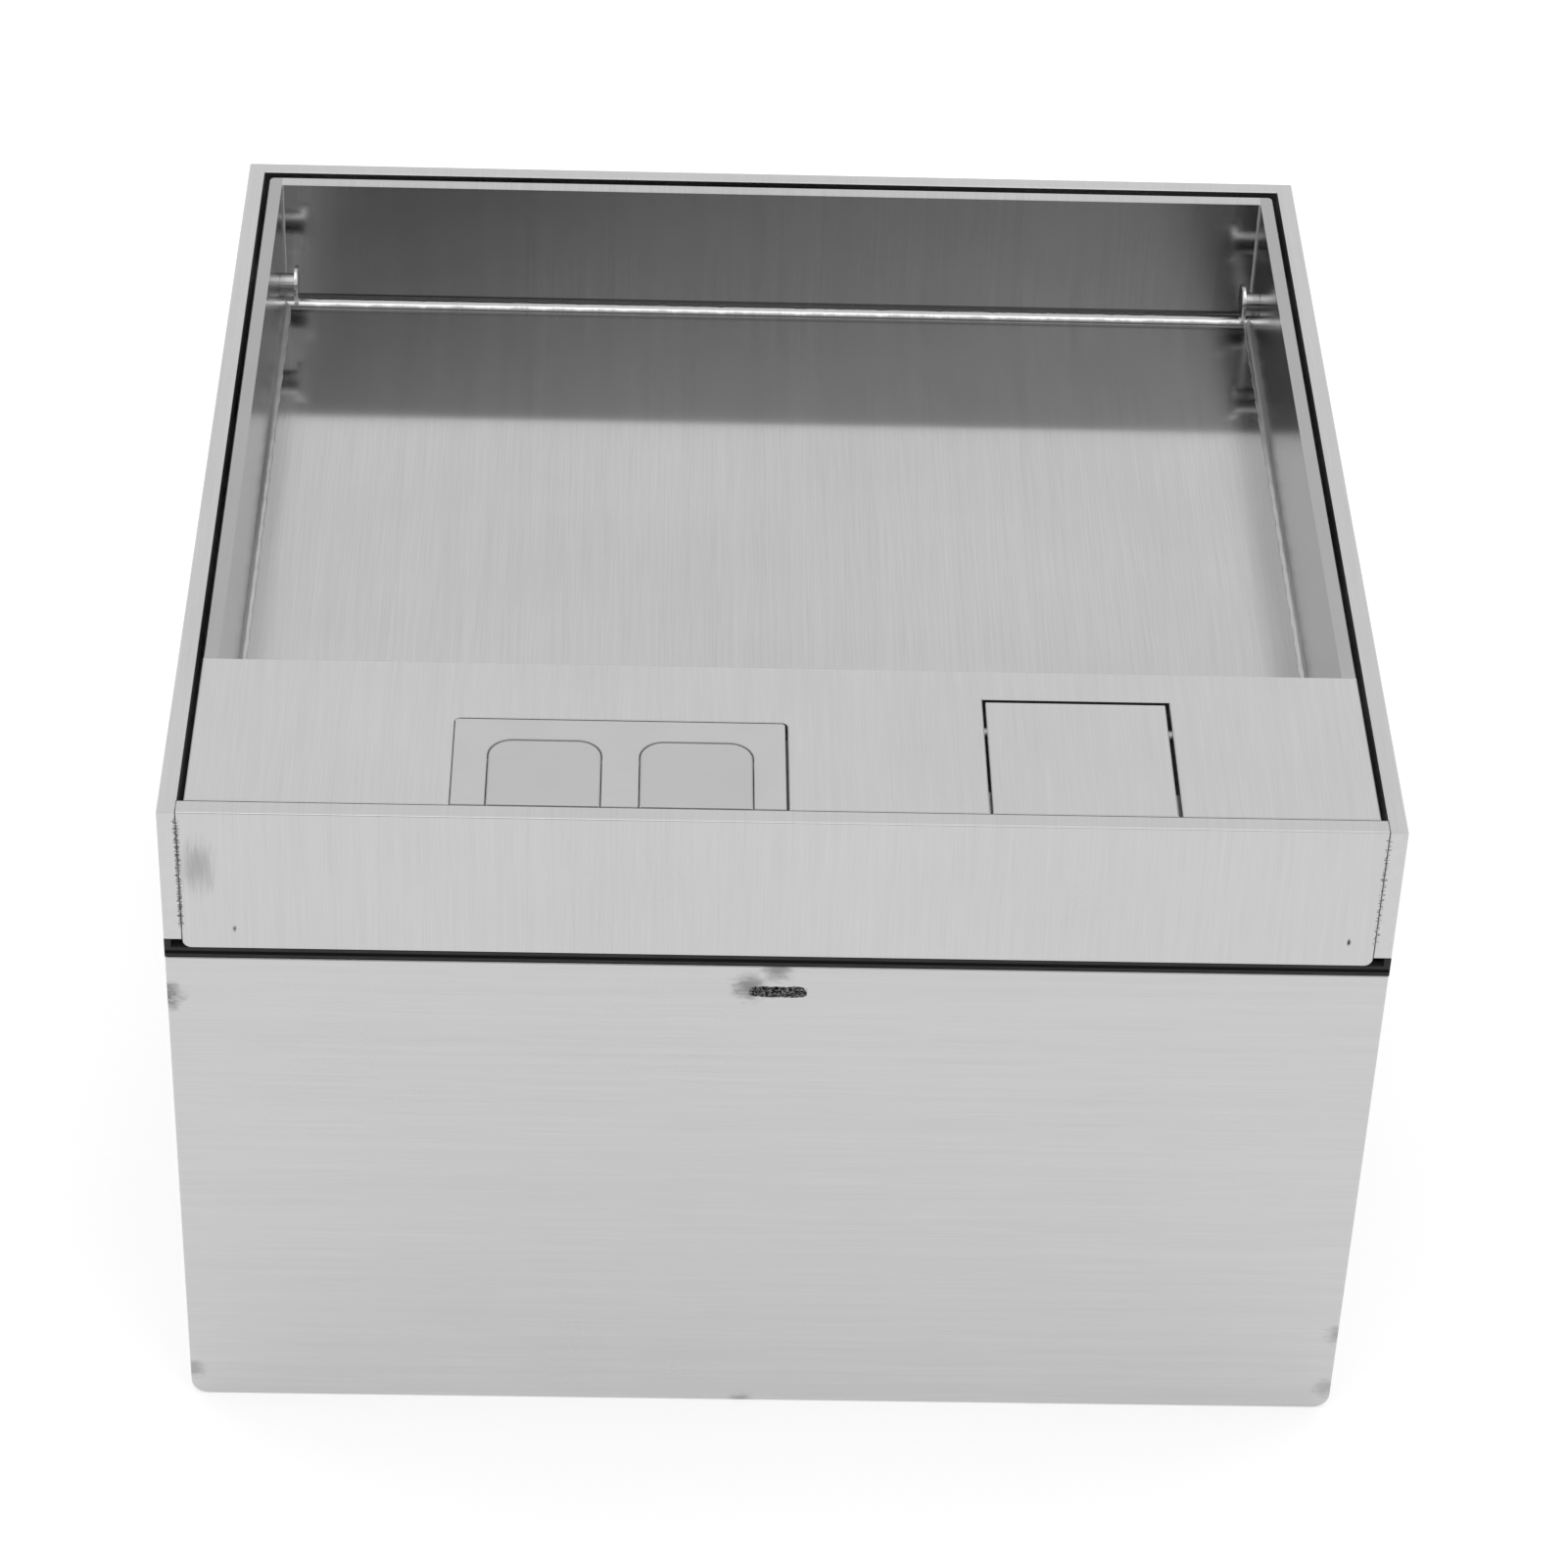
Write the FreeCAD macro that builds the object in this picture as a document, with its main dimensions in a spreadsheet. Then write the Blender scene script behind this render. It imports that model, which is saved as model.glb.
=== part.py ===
import FreeCAD, Part
import os
import Sketcher
from FreeCAD import Vector

# Floor socket box: a sheet steel box set in the floor, a welded frame on a rubber gasket, and a lid
# with a recess for a floor tile. The lid turns on two pins that slide in slots of the frame bars.
# Millimetres; +Z up, +Y towards the hinge, origin at the bottom centre of the box.

SIZES = {
    # whole object and lower box
    "width": 200, "depth": 200, "box_height": 100, "box_sheet": 2, "box_bend": 3,
    # gasket and upper frame
    "gasket": 2, "gasket_width": 2, "frame_bar": 3, "side_bar_height": 26.4, "front_plate_height": 28,
    "front_plate_corner": 1.5, "gasket_lip": 1.1,
    # broken edges of plates and mouldings
    "steel_edge": 0.2, "box_edge": 0.4, "plastic_edge": 0.1,
    # gaps round the lid
    "side_gap": 1.1, "rear_gap": 2, "front_gap": 0.4, "rest_gap": 0.3,
    # lid: tray for the tile and strip in front of it
    "lid_sheet": 2.5, "tray_depth": 26.4, "tray_bend": 2, "strip_depth": 37.9, "strip_sheet": 3,
    "skirt": 10, "rim_corner": 1,
    # hinge pins, washers and their slots
    "pin_setback": 13.8, "pin_drop": 15.4, "pin_radius": 2, "pin_fit": 0.05, "pin_head_radius": 3.85,
    "pin_head_sheet": 0.7, "pin_head_bevel": 0.2, "pin_collar": 2.7, "pin_collar_radius": 2.3,
    "pin_collar_seat": 0.1, "pin_end_gap": 0.2, "slot_deep": 2.2, "slot_fit": 0.1, "pin_travel": 13.4,
    "washer_radius": 4, "washer_sheet": 0.8,
    # cable outlet in the strip
    "outlet_place": -26.4, "outlet_width": 54.4, "outlet_depth": 23, "outlet_gap_left": 0.1,
    "outlet_gap_right": 0.45, "outlet_gap_rear": 0.4, "outlet_corner": 0.6, "insert_height": 8,
    "insert_bridge": 1.8, "insert_nose": 1.1, "nose_height": 1.4, "nose_fit": 0.2, "insert_wall": 1.2,
    "insert_roof": 4.2, "core_end": 3, "flap_pitch": 24.6, "flap_width": 18.4, "flap_depth": 17.2,
    "flap_corner": 4, "flap_gap": 0.12, "flap_sheet": 3, "flap_axis_setback": 4.6,
    "flap_pin_radius": 0.8, "flap_pin_long": 1.6, "flap_round": 0.6,
    # lift tab in the strip
    "tab_place": 48.5, "tab_cutout_width": 31, "tab_cutout_depth": 30.3, "tab_gap_left": 0.5,
    "tab_gap_right": 0.7, "tab_rear_gap": 0.8, "tab_axis_setback": 6.8, "tab_pin_radius": 1,
    "tab_pin_long": 2.5, "tab_round": 0.5, "tab_grip": 1.2,
    # ledges and rails that carry the lid
    "ledge_sheet": 2, "ledge_deep": 10, "ledge_drop": 11.7, "ledge_clear": 3.4, "ledge_side_gap": 2.9,
    "rail_sheet": 2, "rail_wide": 12, "rail_drop": 13.6, "rail_half_length": 34, "pad_wide": 8,
    "pad_inset": 1, "rail_under_rim": 1.7, "rail_bend": 1, "ledge_bend": 1,
    # straps that hold the frame down on the gasket
    "strap_sheet": 1.5, "strap_width": 14, "strap_place": 45, "strap_drop": 17.6, "strap_slot": 7,
    "strap_slot_fit": 0.2, "strap_screw_drop": 11.6, "screw_radius": 2, "screw_fit": 0.05,
    "screw_head_radius": 3.6, "screw_head_height": 2.4, "screw_head_bevel": 0.9,
    # stiffeners welded inside the front and back panels, each with one tab through the panel
    "stiffener_drop": 5.5, "stiffener_sheet": 1.5, "stiffener_deep": 8, "stiffener_leg": 10,
    "stiffener_tab": 9.4, "stiffener_end_gap": 8, "tab_slot_fit": 0.05,
    # holes in the box
    "conduit_radius": 12.75, "conduit_up": 35, "conduit_place": 50, "back_entry_place": 45,
    "anchor_radius": 3.25, "anchor_inset": 25,
    # blanking plugs
    "plug_flange": 2.5, "plug_flange_sheet": 1.4, "plug_wall": 1.5, "plug_fit": 0.1,
    # socket carrier
    "carrier_place": 25, "carrier_wide": 64, "carrier_long": 148, "carrier_up": 47.5,
    "carrier_sheet": 1.5, "carrier_bend": 1, "carrier_foot": 12, "carrier_stud_place": 60,
    "stud_hole_fit": 0.15, "cutout": 44.2, "module_pitch": 47, "stud_radius": 1.95, "stud_long": 10,
    "nut_width": 7, "nut_height": 3.2,
    # 45 mm modules
    "module_face": 45, "module_face_height": 1.5, "module_body": 43.7, "module_body_deep": 36,
    "module_corner": 1.2, "module_seat": 0.03, "well_radius": 19.5, "well_deep": 17, "nose_wide": 5,
    "nose_deep": 2.3, "nose_root": 0.5, "nose_below": 2, "hole_pitch": 19, "hole_radius": 2.45,
    "hole_deep": 11, "clip_wide": 4, "clip_sheet": 0.8, "clip_out": 20.7, "clip_bulge": 2.5,
    "clip_slot_fit": 0.25, "clip_below": 1.2, "clip_tall": 15.6, "data_body_deep": 10,
    "jack_pitch": 19, "jack_wide": 14.4, "jack_long": 16.4, "jack_deep": 24, "jack_fit": 0.1,
    "jack_below": 0.8, "port_wide": 11.8, "port_long": 6.8, "port_deep": 13, "latch_wide": 6.2,
    "latch_long": 2, "latch_end_wide": 3.4, "latch_end_long": 1.6,
    # earth stud
    "earth_from_side": 16, "earth_from_front": 60, "earth_radius": 2.5, "earth_long": 18,
    "earth_foot_radius": 4.5, "earth_foot": 1.5, "earth_washer_radius": 5, "earth_washer": 1,
    "earth_nut_width": 8, "earth_nut": 4, "thread_fit": 0.05,
}

# Places worked out from the sizes
PLACES = {
    "half_width": "Size.width / 2",
    "half_depth": "Size.depth / 2",
    "anchor_x": "At.half_width - Size.anchor_inset",
    "anchor_y": "At.half_depth - Size.anchor_inset",
    "top": "Size.box_height + Size.gasket + Size.front_plate_height",
    "side_bar_bottom": "At.top - Size.side_bar_height",
    "plate_bottom": "At.top - Size.front_plate_height",
    "bar_x": "At.half_width - Size.frame_bar",
    "bar_y": "At.half_depth - Size.frame_bar",
    "wall_x": "At.half_width - Size.box_sheet",
    "wall_y": "At.half_depth - Size.box_sheet",
    "lid_x": "At.bar_x - Size.side_gap",
    "tray_x": "At.lid_x - Size.lid_sheet",
    "lid_rear": "At.bar_y - Size.rear_gap",
    "lid_front": "Size.front_gap - At.bar_y",
    "strip_rear": "At.lid_front + Size.strip_depth",
    "strip_bottom": "At.top - Size.strip_sheet",
    "tray_floor": "At.top - Size.tray_depth",
    "lid_bottom": "At.tray_floor - Size.lid_sheet",
    "pin_y": "At.lid_rear - Size.pin_setback",
    "pin_z": "At.top - Size.pin_drop",
    "outlet_left": "Size.outlet_place - Size.outlet_width / 2",
    "outlet_right": "Size.outlet_place + Size.outlet_width / 2",
    "outlet_rear": "At.lid_front + Size.outlet_depth",
    "insert_left": "At.outlet_left + Size.outlet_gap_left",
    "insert_right": "At.outlet_right - Size.outlet_gap_right",
    "insert_rear": "At.outlet_rear - Size.outlet_gap_rear",
    "insert_bottom": "At.top - Size.insert_height",
    "flap_rear": "At.lid_front + Size.flap_depth",
    "flap_axis": "At.flap_rear - Size.flap_axis_setback",
    "flap_z": "At.top - Size.flap_sheet / 2",
    "tab_left": "Size.tab_place - Size.tab_cutout_width / 2",
    "tab_right": "Size.tab_place + Size.tab_cutout_width / 2",
    "tab_rear": "At.lid_front + Size.tab_cutout_depth",
    "tab_axis": "At.tab_rear - Size.tab_rear_gap - Size.tab_axis_setback",
    "tab_z": "At.top - Size.strip_sheet / 2",
    "rail_top": "Size.box_height - Size.rail_under_rim",
    "strap_x": "At.wall_x - Size.strap_sheet",
    "strap_screw_z": "At.side_bar_bottom - Size.strap_screw_drop",
    "stiffener_z": "Size.box_height - Size.stiffener_drop",
    "carrier_front": "Size.carrier_place - Size.carrier_wide / 2",
    "carrier_rear": "Size.carrier_place + Size.carrier_wide / 2",
    "foot_front": "At.carrier_front - Size.carrier_foot / 2",
    "foot_rear": "At.carrier_rear + Size.carrier_foot / 2",
    "foot_top": "Size.box_sheet + Size.carrier_sheet",
    "face_top": "Size.module_face_height",
    "well_bottom": "Size.module_face_height - Size.well_deep",
    "clip_top": "Size.module_face_height - Size.clip_below",
    "earth_x": "Size.earth_from_side - At.half_width",
    "earth_y": "Size.earth_from_front - At.half_depth",
}

PLANES = {"XY": "XY_Plane", "XZ": "XZ_Plane", "YZ": "YZ_Plane"}
SIDES = {"left": -1, "right": 1}
TOUCH = 0.001

doc = FreeCAD.newDocument("FloorSocketBox")
size = doc.addObject("Spreadsheet::Sheet", "Size")
for row, (alias, number) in enumerate(SIZES.items(), start=1):
    size.set(f"A{row}", alias)
    size.set(f"B{row}", str(number))
    size.setAlias(f"B{row}", alias)
doc.recompute()

at = doc.addObject("App::VarSet", "At")
for place, rule in PLACES.items():
    at.addProperty("App::PropertyFloat", place)
    at.setExpression(place, rule)
    doc.recompute()

nodes = []


# ---- drawing helpers ----

def number_of(rule):
    """Value of a rule such as 'Size.width / 2'."""
    return float(at.evalExpression(rule))


def span(side, near, far):
    """Low and high limits of a stretch from near to far, on the plus or the minus side."""
    if side > 0:
        return near, far
    return f"-({far})", f"-({near})"


def add_body(label):
    """Empty body for one sub-part; its label names the exported file."""
    body = doc.addObject("PartDesign::Body", label)
    body.Label = label
    nodes.append(body)
    return body


def bind(sketch, constraint, rule):
    """Add a dimension to a sketch and tie it to a rule."""
    index = sketch.addConstraint(constraint)
    sketch.setExpression(f"Constraints[{index}]", rule)


def fix_point(sketch, geometry, point, across, up):
    """Tie a point's two coordinates to rules; a rule may be None."""
    if across is not None:
        constraint = Sketcher.Constraint("DistanceX", -1, 1, geometry, point, number_of(across))
        bind(sketch, constraint, across)
    if up is not None:
        constraint = Sketcher.Constraint("DistanceY", -1, 1, geometry, point, number_of(up))
        bind(sketch, constraint, up)


def add_corner_arc(sketch, corner, before, after, line_in, line_out, rule):
    """Quarter arc, tangent to the two lines that meet at a square corner."""
    radius = number_of(rule)
    start = corner + before * radius
    end = corner + after * radius
    centre = corner + (before + after) * radius
    middle = centre + (corner - centre).normalize() * radius
    arc = sketch.addGeometry(Part.Arc(start, middle, end))
    first = 1 if sketch.getPoint(arc, 1).distanceToPoint(start) < radius / 10 else 2
    sketch.addConstraint(Sketcher.Constraint("Tangent", line_in, 2, arc, first))
    sketch.addConstraint(Sketcher.Constraint("Tangent", arc, 3 - first, line_out, 1))
    bind(sketch, Sketcher.Constraint("Radius", arc, radius), rule)


def add_outline(sketch, corners):
    """Closed outline through corners (across, up) or (across, up, radius), given as rules."""
    count = len(corners)
    spots = [Vector(number_of(c[0]), number_of(c[1]), 0) for c in corners]
    radii = [number_of(c[2]) if len(c) > 2 else 0 for c in corners]
    ways = [(spots[(i + 1) % count] - spots[i]).normalize() for i in range(count)]
    lines = []
    for i in range(count):
        start = spots[i] + ways[i] * radii[i]
        end = spots[(i + 1) % count] - ways[i] * radii[(i + 1) % count]
        lines.append(sketch.addGeometry(Part.LineSegment(start, end)))
    square = all(corners[i][0] == corners[i - 1][0] or corners[i][1] == corners[i - 1][1]
                 for i in range(count))
    for i in range(count):
        if len(corners[i]) > 2:
            add_corner_arc(sketch, spots[i], -ways[i - 1], ways[i], lines[i - 1], lines[i], corners[i][2])
        else:
            sketch.addConstraint(Sketcher.Constraint("Coincident", lines[i - 1], 2, lines[i], 1))
        across, up = corners[i][0], corners[i][1]
        if not square:
            fix_point(sketch, lines[i], 1, across, up)
        elif across == corners[(i + 1) % count][0]:
            sketch.addConstraint(Sketcher.Constraint("Vertical", lines[i]))
            fix_point(sketch, lines[i], 1, across, None)
        else:
            sketch.addConstraint(Sketcher.Constraint("Horizontal", lines[i]))
            fix_point(sketch, lines[i], 1, None, up)


def add_slot(sketch, low, high, up, radius):
    """Level slot with round ends, whose end centres are at low and high."""
    reach = number_of(radius)
    a = Vector(number_of(low), number_of(up), 0)
    b = Vector(number_of(high), number_of(up), 0)
    lift = Vector(0, reach, 0)
    out = Vector(reach, 0, 0)
    top = sketch.addGeometry(Part.LineSegment(b + lift, a + lift))
    left = sketch.addGeometry(Part.Arc(a + lift, a - out, a - lift))
    base = sketch.addGeometry(Part.LineSegment(a - lift, b - lift))
    right = sketch.addGeometry(Part.Arc(b - lift, b + out, b + lift))
    for line, line_end, arc, arc_end in ((top, 2, left, 1), (base, 1, left, 2),
                                         (base, 2, right, 1), (top, 1, right, 2)):
        sketch.addConstraint(Sketcher.Constraint("Tangent", line, line_end, arc, arc_end))
    bind(sketch, Sketcher.Constraint("Radius", left, reach), radius)
    fix_point(sketch, left, 3, low, up)
    fix_point(sketch, right, 3, high, up)


def add_circle(sketch, across, up, radius):
    """Circle with its centre and radius tied to rules."""
    centre = Vector(number_of(across), number_of(up), 0)
    circle = sketch.addGeometry(Part.Circle(centre, Vector(0, 0, 1), number_of(radius)))
    fix_point(sketch, circle, 3, across, up)
    bind(sketch, Sketcher.Constraint("Radius", circle, number_of(radius)), radius)


def add_sketch(body, plane, station, outlines=(), circles=(), slots=()):
    """Sketch on one of the body's own planes, moved along its axis to a station."""
    sketch = body.newObject("Sketcher::SketchObject", body.Label + "_sketch")
    origin_plane = [item for item in body.Origin.OriginFeatures if item.Role == PLANES[plane]][0]
    sketch.AttachmentSupport = [(origin_plane, "")]
    sketch.MapMode = "FlatFace"
    rule = f"-({station})" if plane == "XZ" else station
    sketch.setExpression(".AttachmentOffset.Base.z", rule)
    for corners in outlines:
        add_outline(sketch, corners)
    for circle in circles:
        add_circle(sketch, *circle)
    for slot in slots:
        add_slot(sketch, *slot)
    return sketch


def pad(body, plane, low, high, **drawing):
    """Add material between two stations along the plane's axis."""
    station = high if plane == "XZ" else low
    sketch = add_sketch(body, plane, station, **drawing)
    feature = body.newObject("PartDesign::Pad", body.Label + "_pad")
    feature.Profile = sketch
    feature.setExpression("Length", f"({high}) - ({low})")
    doc.recompute()
    return feature


def cut(body, plane, low, high, **drawing):
    """Remove material between two stations along the plane's axis."""
    before = body.Shape.Volume
    station = low if plane == "XZ" else high
    sketch = add_sketch(body, plane, station, **drawing)
    feature = body.newObject("PartDesign::Pocket", body.Label + "_cut")
    feature.Profile = sketch
    feature.setExpression("Length", f"({high}) - ({low})")
    doc.recompute()
    if body.Shape.Volume >= before:
        raise ValueError(f"{body.Label}: a cut removed nothing")
    return feature


def turn(body, axis, corners):
    """Revolve an outline of (along, radius) round X, or of (radius, along) round Z."""
    sketch = add_sketch(body, "XZ", "0", outlines=[corners])
    feature = body.newObject("PartDesign::Revolution", body.Label + "_turn")
    feature.Profile = sketch
    feature.ReferenceAxis = (sketch, [axis])
    feature.Angle = 360
    doc.recompute()
    return feature


def lies_at(edge, **planes):
    """True if an edge lies wholly in each named plane, such as z="At.top"."""
    box = edge.BoundBox
    for axis, rule in planes.items():
        level = number_of(rule)
        low, high = getattr(box, axis.upper() + "Min"), getattr(box, axis.upper() + "Max")
        if abs(low - level) > TOUCH or abs(high - level) > TOUCH:
            return False
    return True


def on_block_edge(edge, shape):
    """True if an edge lies on one of the twelve edges of the shape's bounding box."""
    inner, outer = edge.BoundBox, shape.BoundBox
    matches = 0
    for axis in "XYZ":
        low, high = getattr(inner, axis + "Min"), getattr(inner, axis + "Max")
        ends = (getattr(outer, axis + "Min"), getattr(outer, axis + "Max"))
        matches += any(abs(low - end) < TOUCH and abs(high - end) < TOUCH for end in ends)
    return matches == 2


def finish_edges(body, kind, amount, picked):
    """Add a Fillet or Chamfer on the edges for which picked(edge) is true."""
    tip = body.Tip
    names = [f"Edge{i}" for i, edge in enumerate(tip.Shape.Edges, start=1) if picked(edge)]
    feature = body.newObject(f"PartDesign::{kind}", f"{body.Label}_{kind.lower()}")
    feature.Base = (tip, names)
    feature.setExpression("Radius" if kind == "Fillet" else "Size", amount)
    doc.recompute()
    return feature


def place(item, across="0", deep="0", up="0"):
    """Tie an object's placement to rules."""
    item.setExpression(".Placement.Base.x", across)
    item.setExpression(".Placement.Base.y", deep)
    item.setExpression(".Placement.Base.z", up)
    doc.recompute()


def mirrored_group(label, master, mirrors):
    """Group of separate solids: the master and its images in planes (normal, rule of the plane)."""
    nodes.remove(master)
    master.Label = label + "_master"
    group = master
    for step, (normal, rule) in enumerate(mirrors, start=1):
        image = doc.addObject("Part::Mirroring", f"{label}_image_{step}")
        image.Source = group
        image.Normal = normal
        axis = "x" if normal.x else "y"
        image.setExpression(f".Base.{axis}", rule)
        joined = doc.addObject("Part::Compound", f"{label}_group_{step}")
        joined.Links = [group, image]
        group = joined
        doc.recompute()
    group.Label = label
    nodes.append(group)
    return group


def rod(label, radius, low, high, deep, up):
    """Plain round bar along X."""
    item = doc.addObject("Part::Cylinder", label)
    item.Label = label
    item.Placement = FreeCAD.Placement(Vector(), FreeCAD.Rotation(Vector(0, 1, 0), 90))
    item.setExpression("Radius", radius)
    item.setExpression("Height", f"({high}) - ({low})")
    place(item, low, deep, up)
    nodes.append(item)
    return item


def block(label, across, deep, up):
    """Plain block between (low, high) rules along each axis."""
    item = doc.addObject("Part::Box", label)
    item.Label = label
    for name, limits in zip(("Length", "Width", "Height"), (across, deep, up)):
        item.setExpression(name, f"({limits[1]}) - ({limits[0]})")
    place(item, across[0], deep[0], up[0])
    nodes.append(item)
    return item


def rectangle(left, right, low, high):
    """Corners of a plain rectangle."""
    return [(left, low), (right, low), (right, high), (left, high)]


# ---- lower box ----

def box_outline():
    """Face outline of the box, with the bend radius at its two lower corners."""
    return [("-At.half_width", "Size.box_height"), ("-At.half_width", "0", "Size.box_bend"),
            ("At.half_width", "0", "Size.box_bend"), ("At.half_width", "Size.box_height")]


def make_box_body():
    """Sides and bottom bent from one sheet, with conduit, anchor and strap screw holes."""
    body = add_body("box_body")
    inner_bend = "Size.box_bend - Size.box_sheet"
    profile = box_outline() + [("At.wall_x", "Size.box_height"), ("At.wall_x", "Size.box_sheet", inner_bend),
                               ("-At.wall_x", "Size.box_sheet", inner_bend),
                               ("-At.wall_x", "Size.box_height")]
    pad(body, "XZ", "-At.wall_y", "At.wall_y", outlines=[profile])
    side_holes = [(f"{y} * Size.conduit_place", "Size.conduit_up", "Size.conduit_radius") for y in (-1, 1)]
    screw_hole = "Size.screw_radius + Size.screw_fit"
    side_holes += [(f"{y} * Size.strap_place", "At.strap_screw_z", screw_hole) for y in (-1, 1)]
    cut(body, "YZ", "-At.half_width", "At.half_width", circles=side_holes)
    anchors = [(f"{x} * At.anchor_x", f"{y} * At.anchor_y", "Size.anchor_radius")
               for x in (-1, 1) for y in (-1, 1)]
    cut(body, "XY", "0", "Size.box_sheet", circles=anchors)


def make_panel(label, side, holes=()):
    """Flat front or back plate with the slot that takes the stiffener's tab."""
    body = add_body(label)
    low, high = span(side, "At.wall_y", "At.half_depth")
    half = "(Size.stiffener_tab / 2 + Size.tab_slot_fit)"
    lift = "(Size.stiffener_sheet / 2 + Size.tab_slot_fit)"
    slot = rectangle(f"-{half}", half, f"At.stiffener_z - {lift}", f"At.stiffener_z + {lift}")
    pad(body, "XZ", low, high, outlines=[box_outline(), slot], circles=holes)
    outside = f"{side} * At.half_depth"
    finish_edges(body, "Fillet", "Size.box_edge", lambda edge: lies_at(edge, y=outside)
                 and (edge.BoundBox.XLength > number_of("Size.width") / 2
                      or abs(edge.CenterOfMass.x) > number_of("At.wall_x - Size.box_bend")))


def make_stiffener(label, side):
    """Angle along the top of a panel, located by one tab in the panel's slot."""
    body = add_body(label)
    wall, edge, leg = "At.wall_y", "At.wall_y - Size.stiffener_deep", "Size.stiffener_sheet"
    under, over = f"At.stiffener_z - {leg} / 2", f"At.stiffener_z + {leg} / 2"
    foot = f"At.stiffener_z + {leg} / 2 - Size.stiffener_leg"
    profile = [(wall, over), (wall, under), (f"{edge} + {leg}", under), (f"{edge} + {leg}", foot),
               (edge, foot), (edge, over)]
    profile = [(f"{side} * ({across})", up) for across, up in profile]
    reach = "At.wall_x - Size.stiffener_end_gap"
    pad(body, "YZ", f"-({reach})", reach, outlines=[profile])
    low, high = span(side, "At.wall_y", "At.half_depth")
    half = "Size.stiffener_tab / 2"
    pad(body, "XZ", low, high, outlines=[rectangle(f"-{half}", half, under, over)])


def make_blanking_plugs():
    """Push-in caps that close the two entries in the back panel."""
    body = add_body("blanking_plugs")
    hole = "Size.conduit_radius - Size.plug_fit"
    flange = "Size.conduit_radius + Size.plug_flange"
    inner = f"{hole} - Size.plug_wall"
    back = "Size.plug_flange_sheet"
    corners = [("0", "Size.box_sheet"), (hole, "Size.box_sheet"), (hole, "0"), (flange, "0"),
               (flange, f"-{back}"), (inner, f"-{back}"), (inner, "Size.box_sheet - Size.plug_wall"),
               ("0", "Size.box_sheet - Size.plug_wall")]
    turn(body, "V_Axis", corners)
    body.Placement = FreeCAD.Placement(Vector(), FreeCAD.Rotation(Vector(1, 0, 0), -90))
    place(body, "Size.back_entry_place", "At.wall_y", "Size.conduit_up")
    mirrored_group("blanking_plugs", body, [(Vector(1, 0, 0), "0")])


# ---- upper frame ----

def make_side_bar(label, side):
    """Side bar of the frame, with the blind slot in which the hinge pin slides."""
    body = add_body(label)
    low, high = span(side, "At.bar_x", "At.half_width")
    pad(body, "XY", "At.side_bar_bottom", "At.top",
        outlines=[rectangle(low, high, "-At.half_depth", "At.half_depth")])
    low, high = span(side, "At.bar_x", "At.bar_x + Size.slot_deep")
    slot = ("At.pin_y - Size.pin_travel - Size.slot_fit", "At.pin_y + Size.slot_fit", "At.pin_z",
            "Size.pin_radius + Size.slot_fit")
    cut(body, "YZ", low, high, slots=[slot])
    inside = f"{side} * At.bar_x"
    finish_edges(body, "Chamfer", "Size.steel_edge",
                 lambda edge: on_block_edge(edge, body.Shape) and not lies_at(edge, x=inside))


def make_back_bar():
    """Back bar, welded between the side bars."""
    body = add_body("frame_back_bar")
    pad(body, "XY", "At.side_bar_bottom", "At.top",
        outlines=[rectangle("-At.bar_x", "At.bar_x", "At.bar_y", "At.half_depth")])
    finish_edges(body, "Chamfer", "Size.steel_edge", lambda edge: edge.BoundBox.XLength > TOUCH)


def make_front_plate():
    """Front plate, deeper than the bars, with rounded lower corners and softened front edges."""
    body = add_body("frame_front_plate")
    corner = "Size.front_plate_corner"
    outline = [("-At.bar_x", "At.top"), ("-At.bar_x", "At.plate_bottom", corner),
               ("At.bar_x", "At.plate_bottom", corner), ("At.bar_x", "At.top")]
    pad(body, "XZ", "-At.half_depth", "-At.bar_y", outlines=[outline])
    finish_edges(body, "Fillet", "Size.steel_edge", lambda edge: lies_at(edge, y="-At.half_depth"))


def make_gasket():
    """Rubber ring between box and frame, thicker under the three shallower bars."""
    body = add_body("frame_gasket")
    inner_x = "At.half_width - Size.gasket_width"
    inner_y = "At.half_depth - Size.gasket_width"
    base, shelf = "Size.box_height", "At.plate_bottom"
    outer = rectangle("-At.half_width", "At.half_width", "-At.half_depth", "At.half_depth")
    inner = rectangle(f"-({inner_x})", inner_x, f"-({inner_y})", inner_y)
    pad(body, "XY", base, shelf, outlines=[outer, inner])
    lip_x = "At.half_width - Size.gasket_lip"
    lip_y = "At.half_depth - Size.gasket_lip"
    step = [("-At.half_width", "-At.half_depth"), (f"-({lip_x})", "-At.half_depth"),
            (f"-({lip_x})", lip_y), (lip_x, lip_y), (lip_x, "-At.half_depth"),
            ("At.half_width", "-At.half_depth"), ("At.half_width", "At.half_depth"),
            ("-At.half_width", "At.half_depth")]
    pad(body, "XY", shelf, "At.side_bar_bottom", outlines=[step])


def make_straps():
    """Four straps welded under the side bars, screwed to the box walls through upright slots."""
    body = add_body("frame_straps")
    half = "Size.strap_width / 2"
    outline = rectangle(f"Size.strap_place - {half}", f"Size.strap_place + {half}",
                        "At.side_bar_bottom - Size.strap_drop", "At.side_bar_bottom")
    pad(body, "YZ", "At.strap_x", "At.wall_x", outlines=[outline])
    hole = "(Size.screw_radius + Size.strap_slot_fit)"
    upright = rectangle(f"Size.strap_place - {hole}", f"Size.strap_place + {hole}",
                        "At.strap_screw_z - Size.strap_slot / 2", "At.strap_screw_z + Size.strap_slot / 2")
    cut(body, "YZ", "At.strap_x", "At.wall_x", outlines=[upright])
    mirrored_group("frame_straps", body, [(Vector(1, 0, 0), "0"), (Vector(0, 1, 0), "0")])


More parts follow.
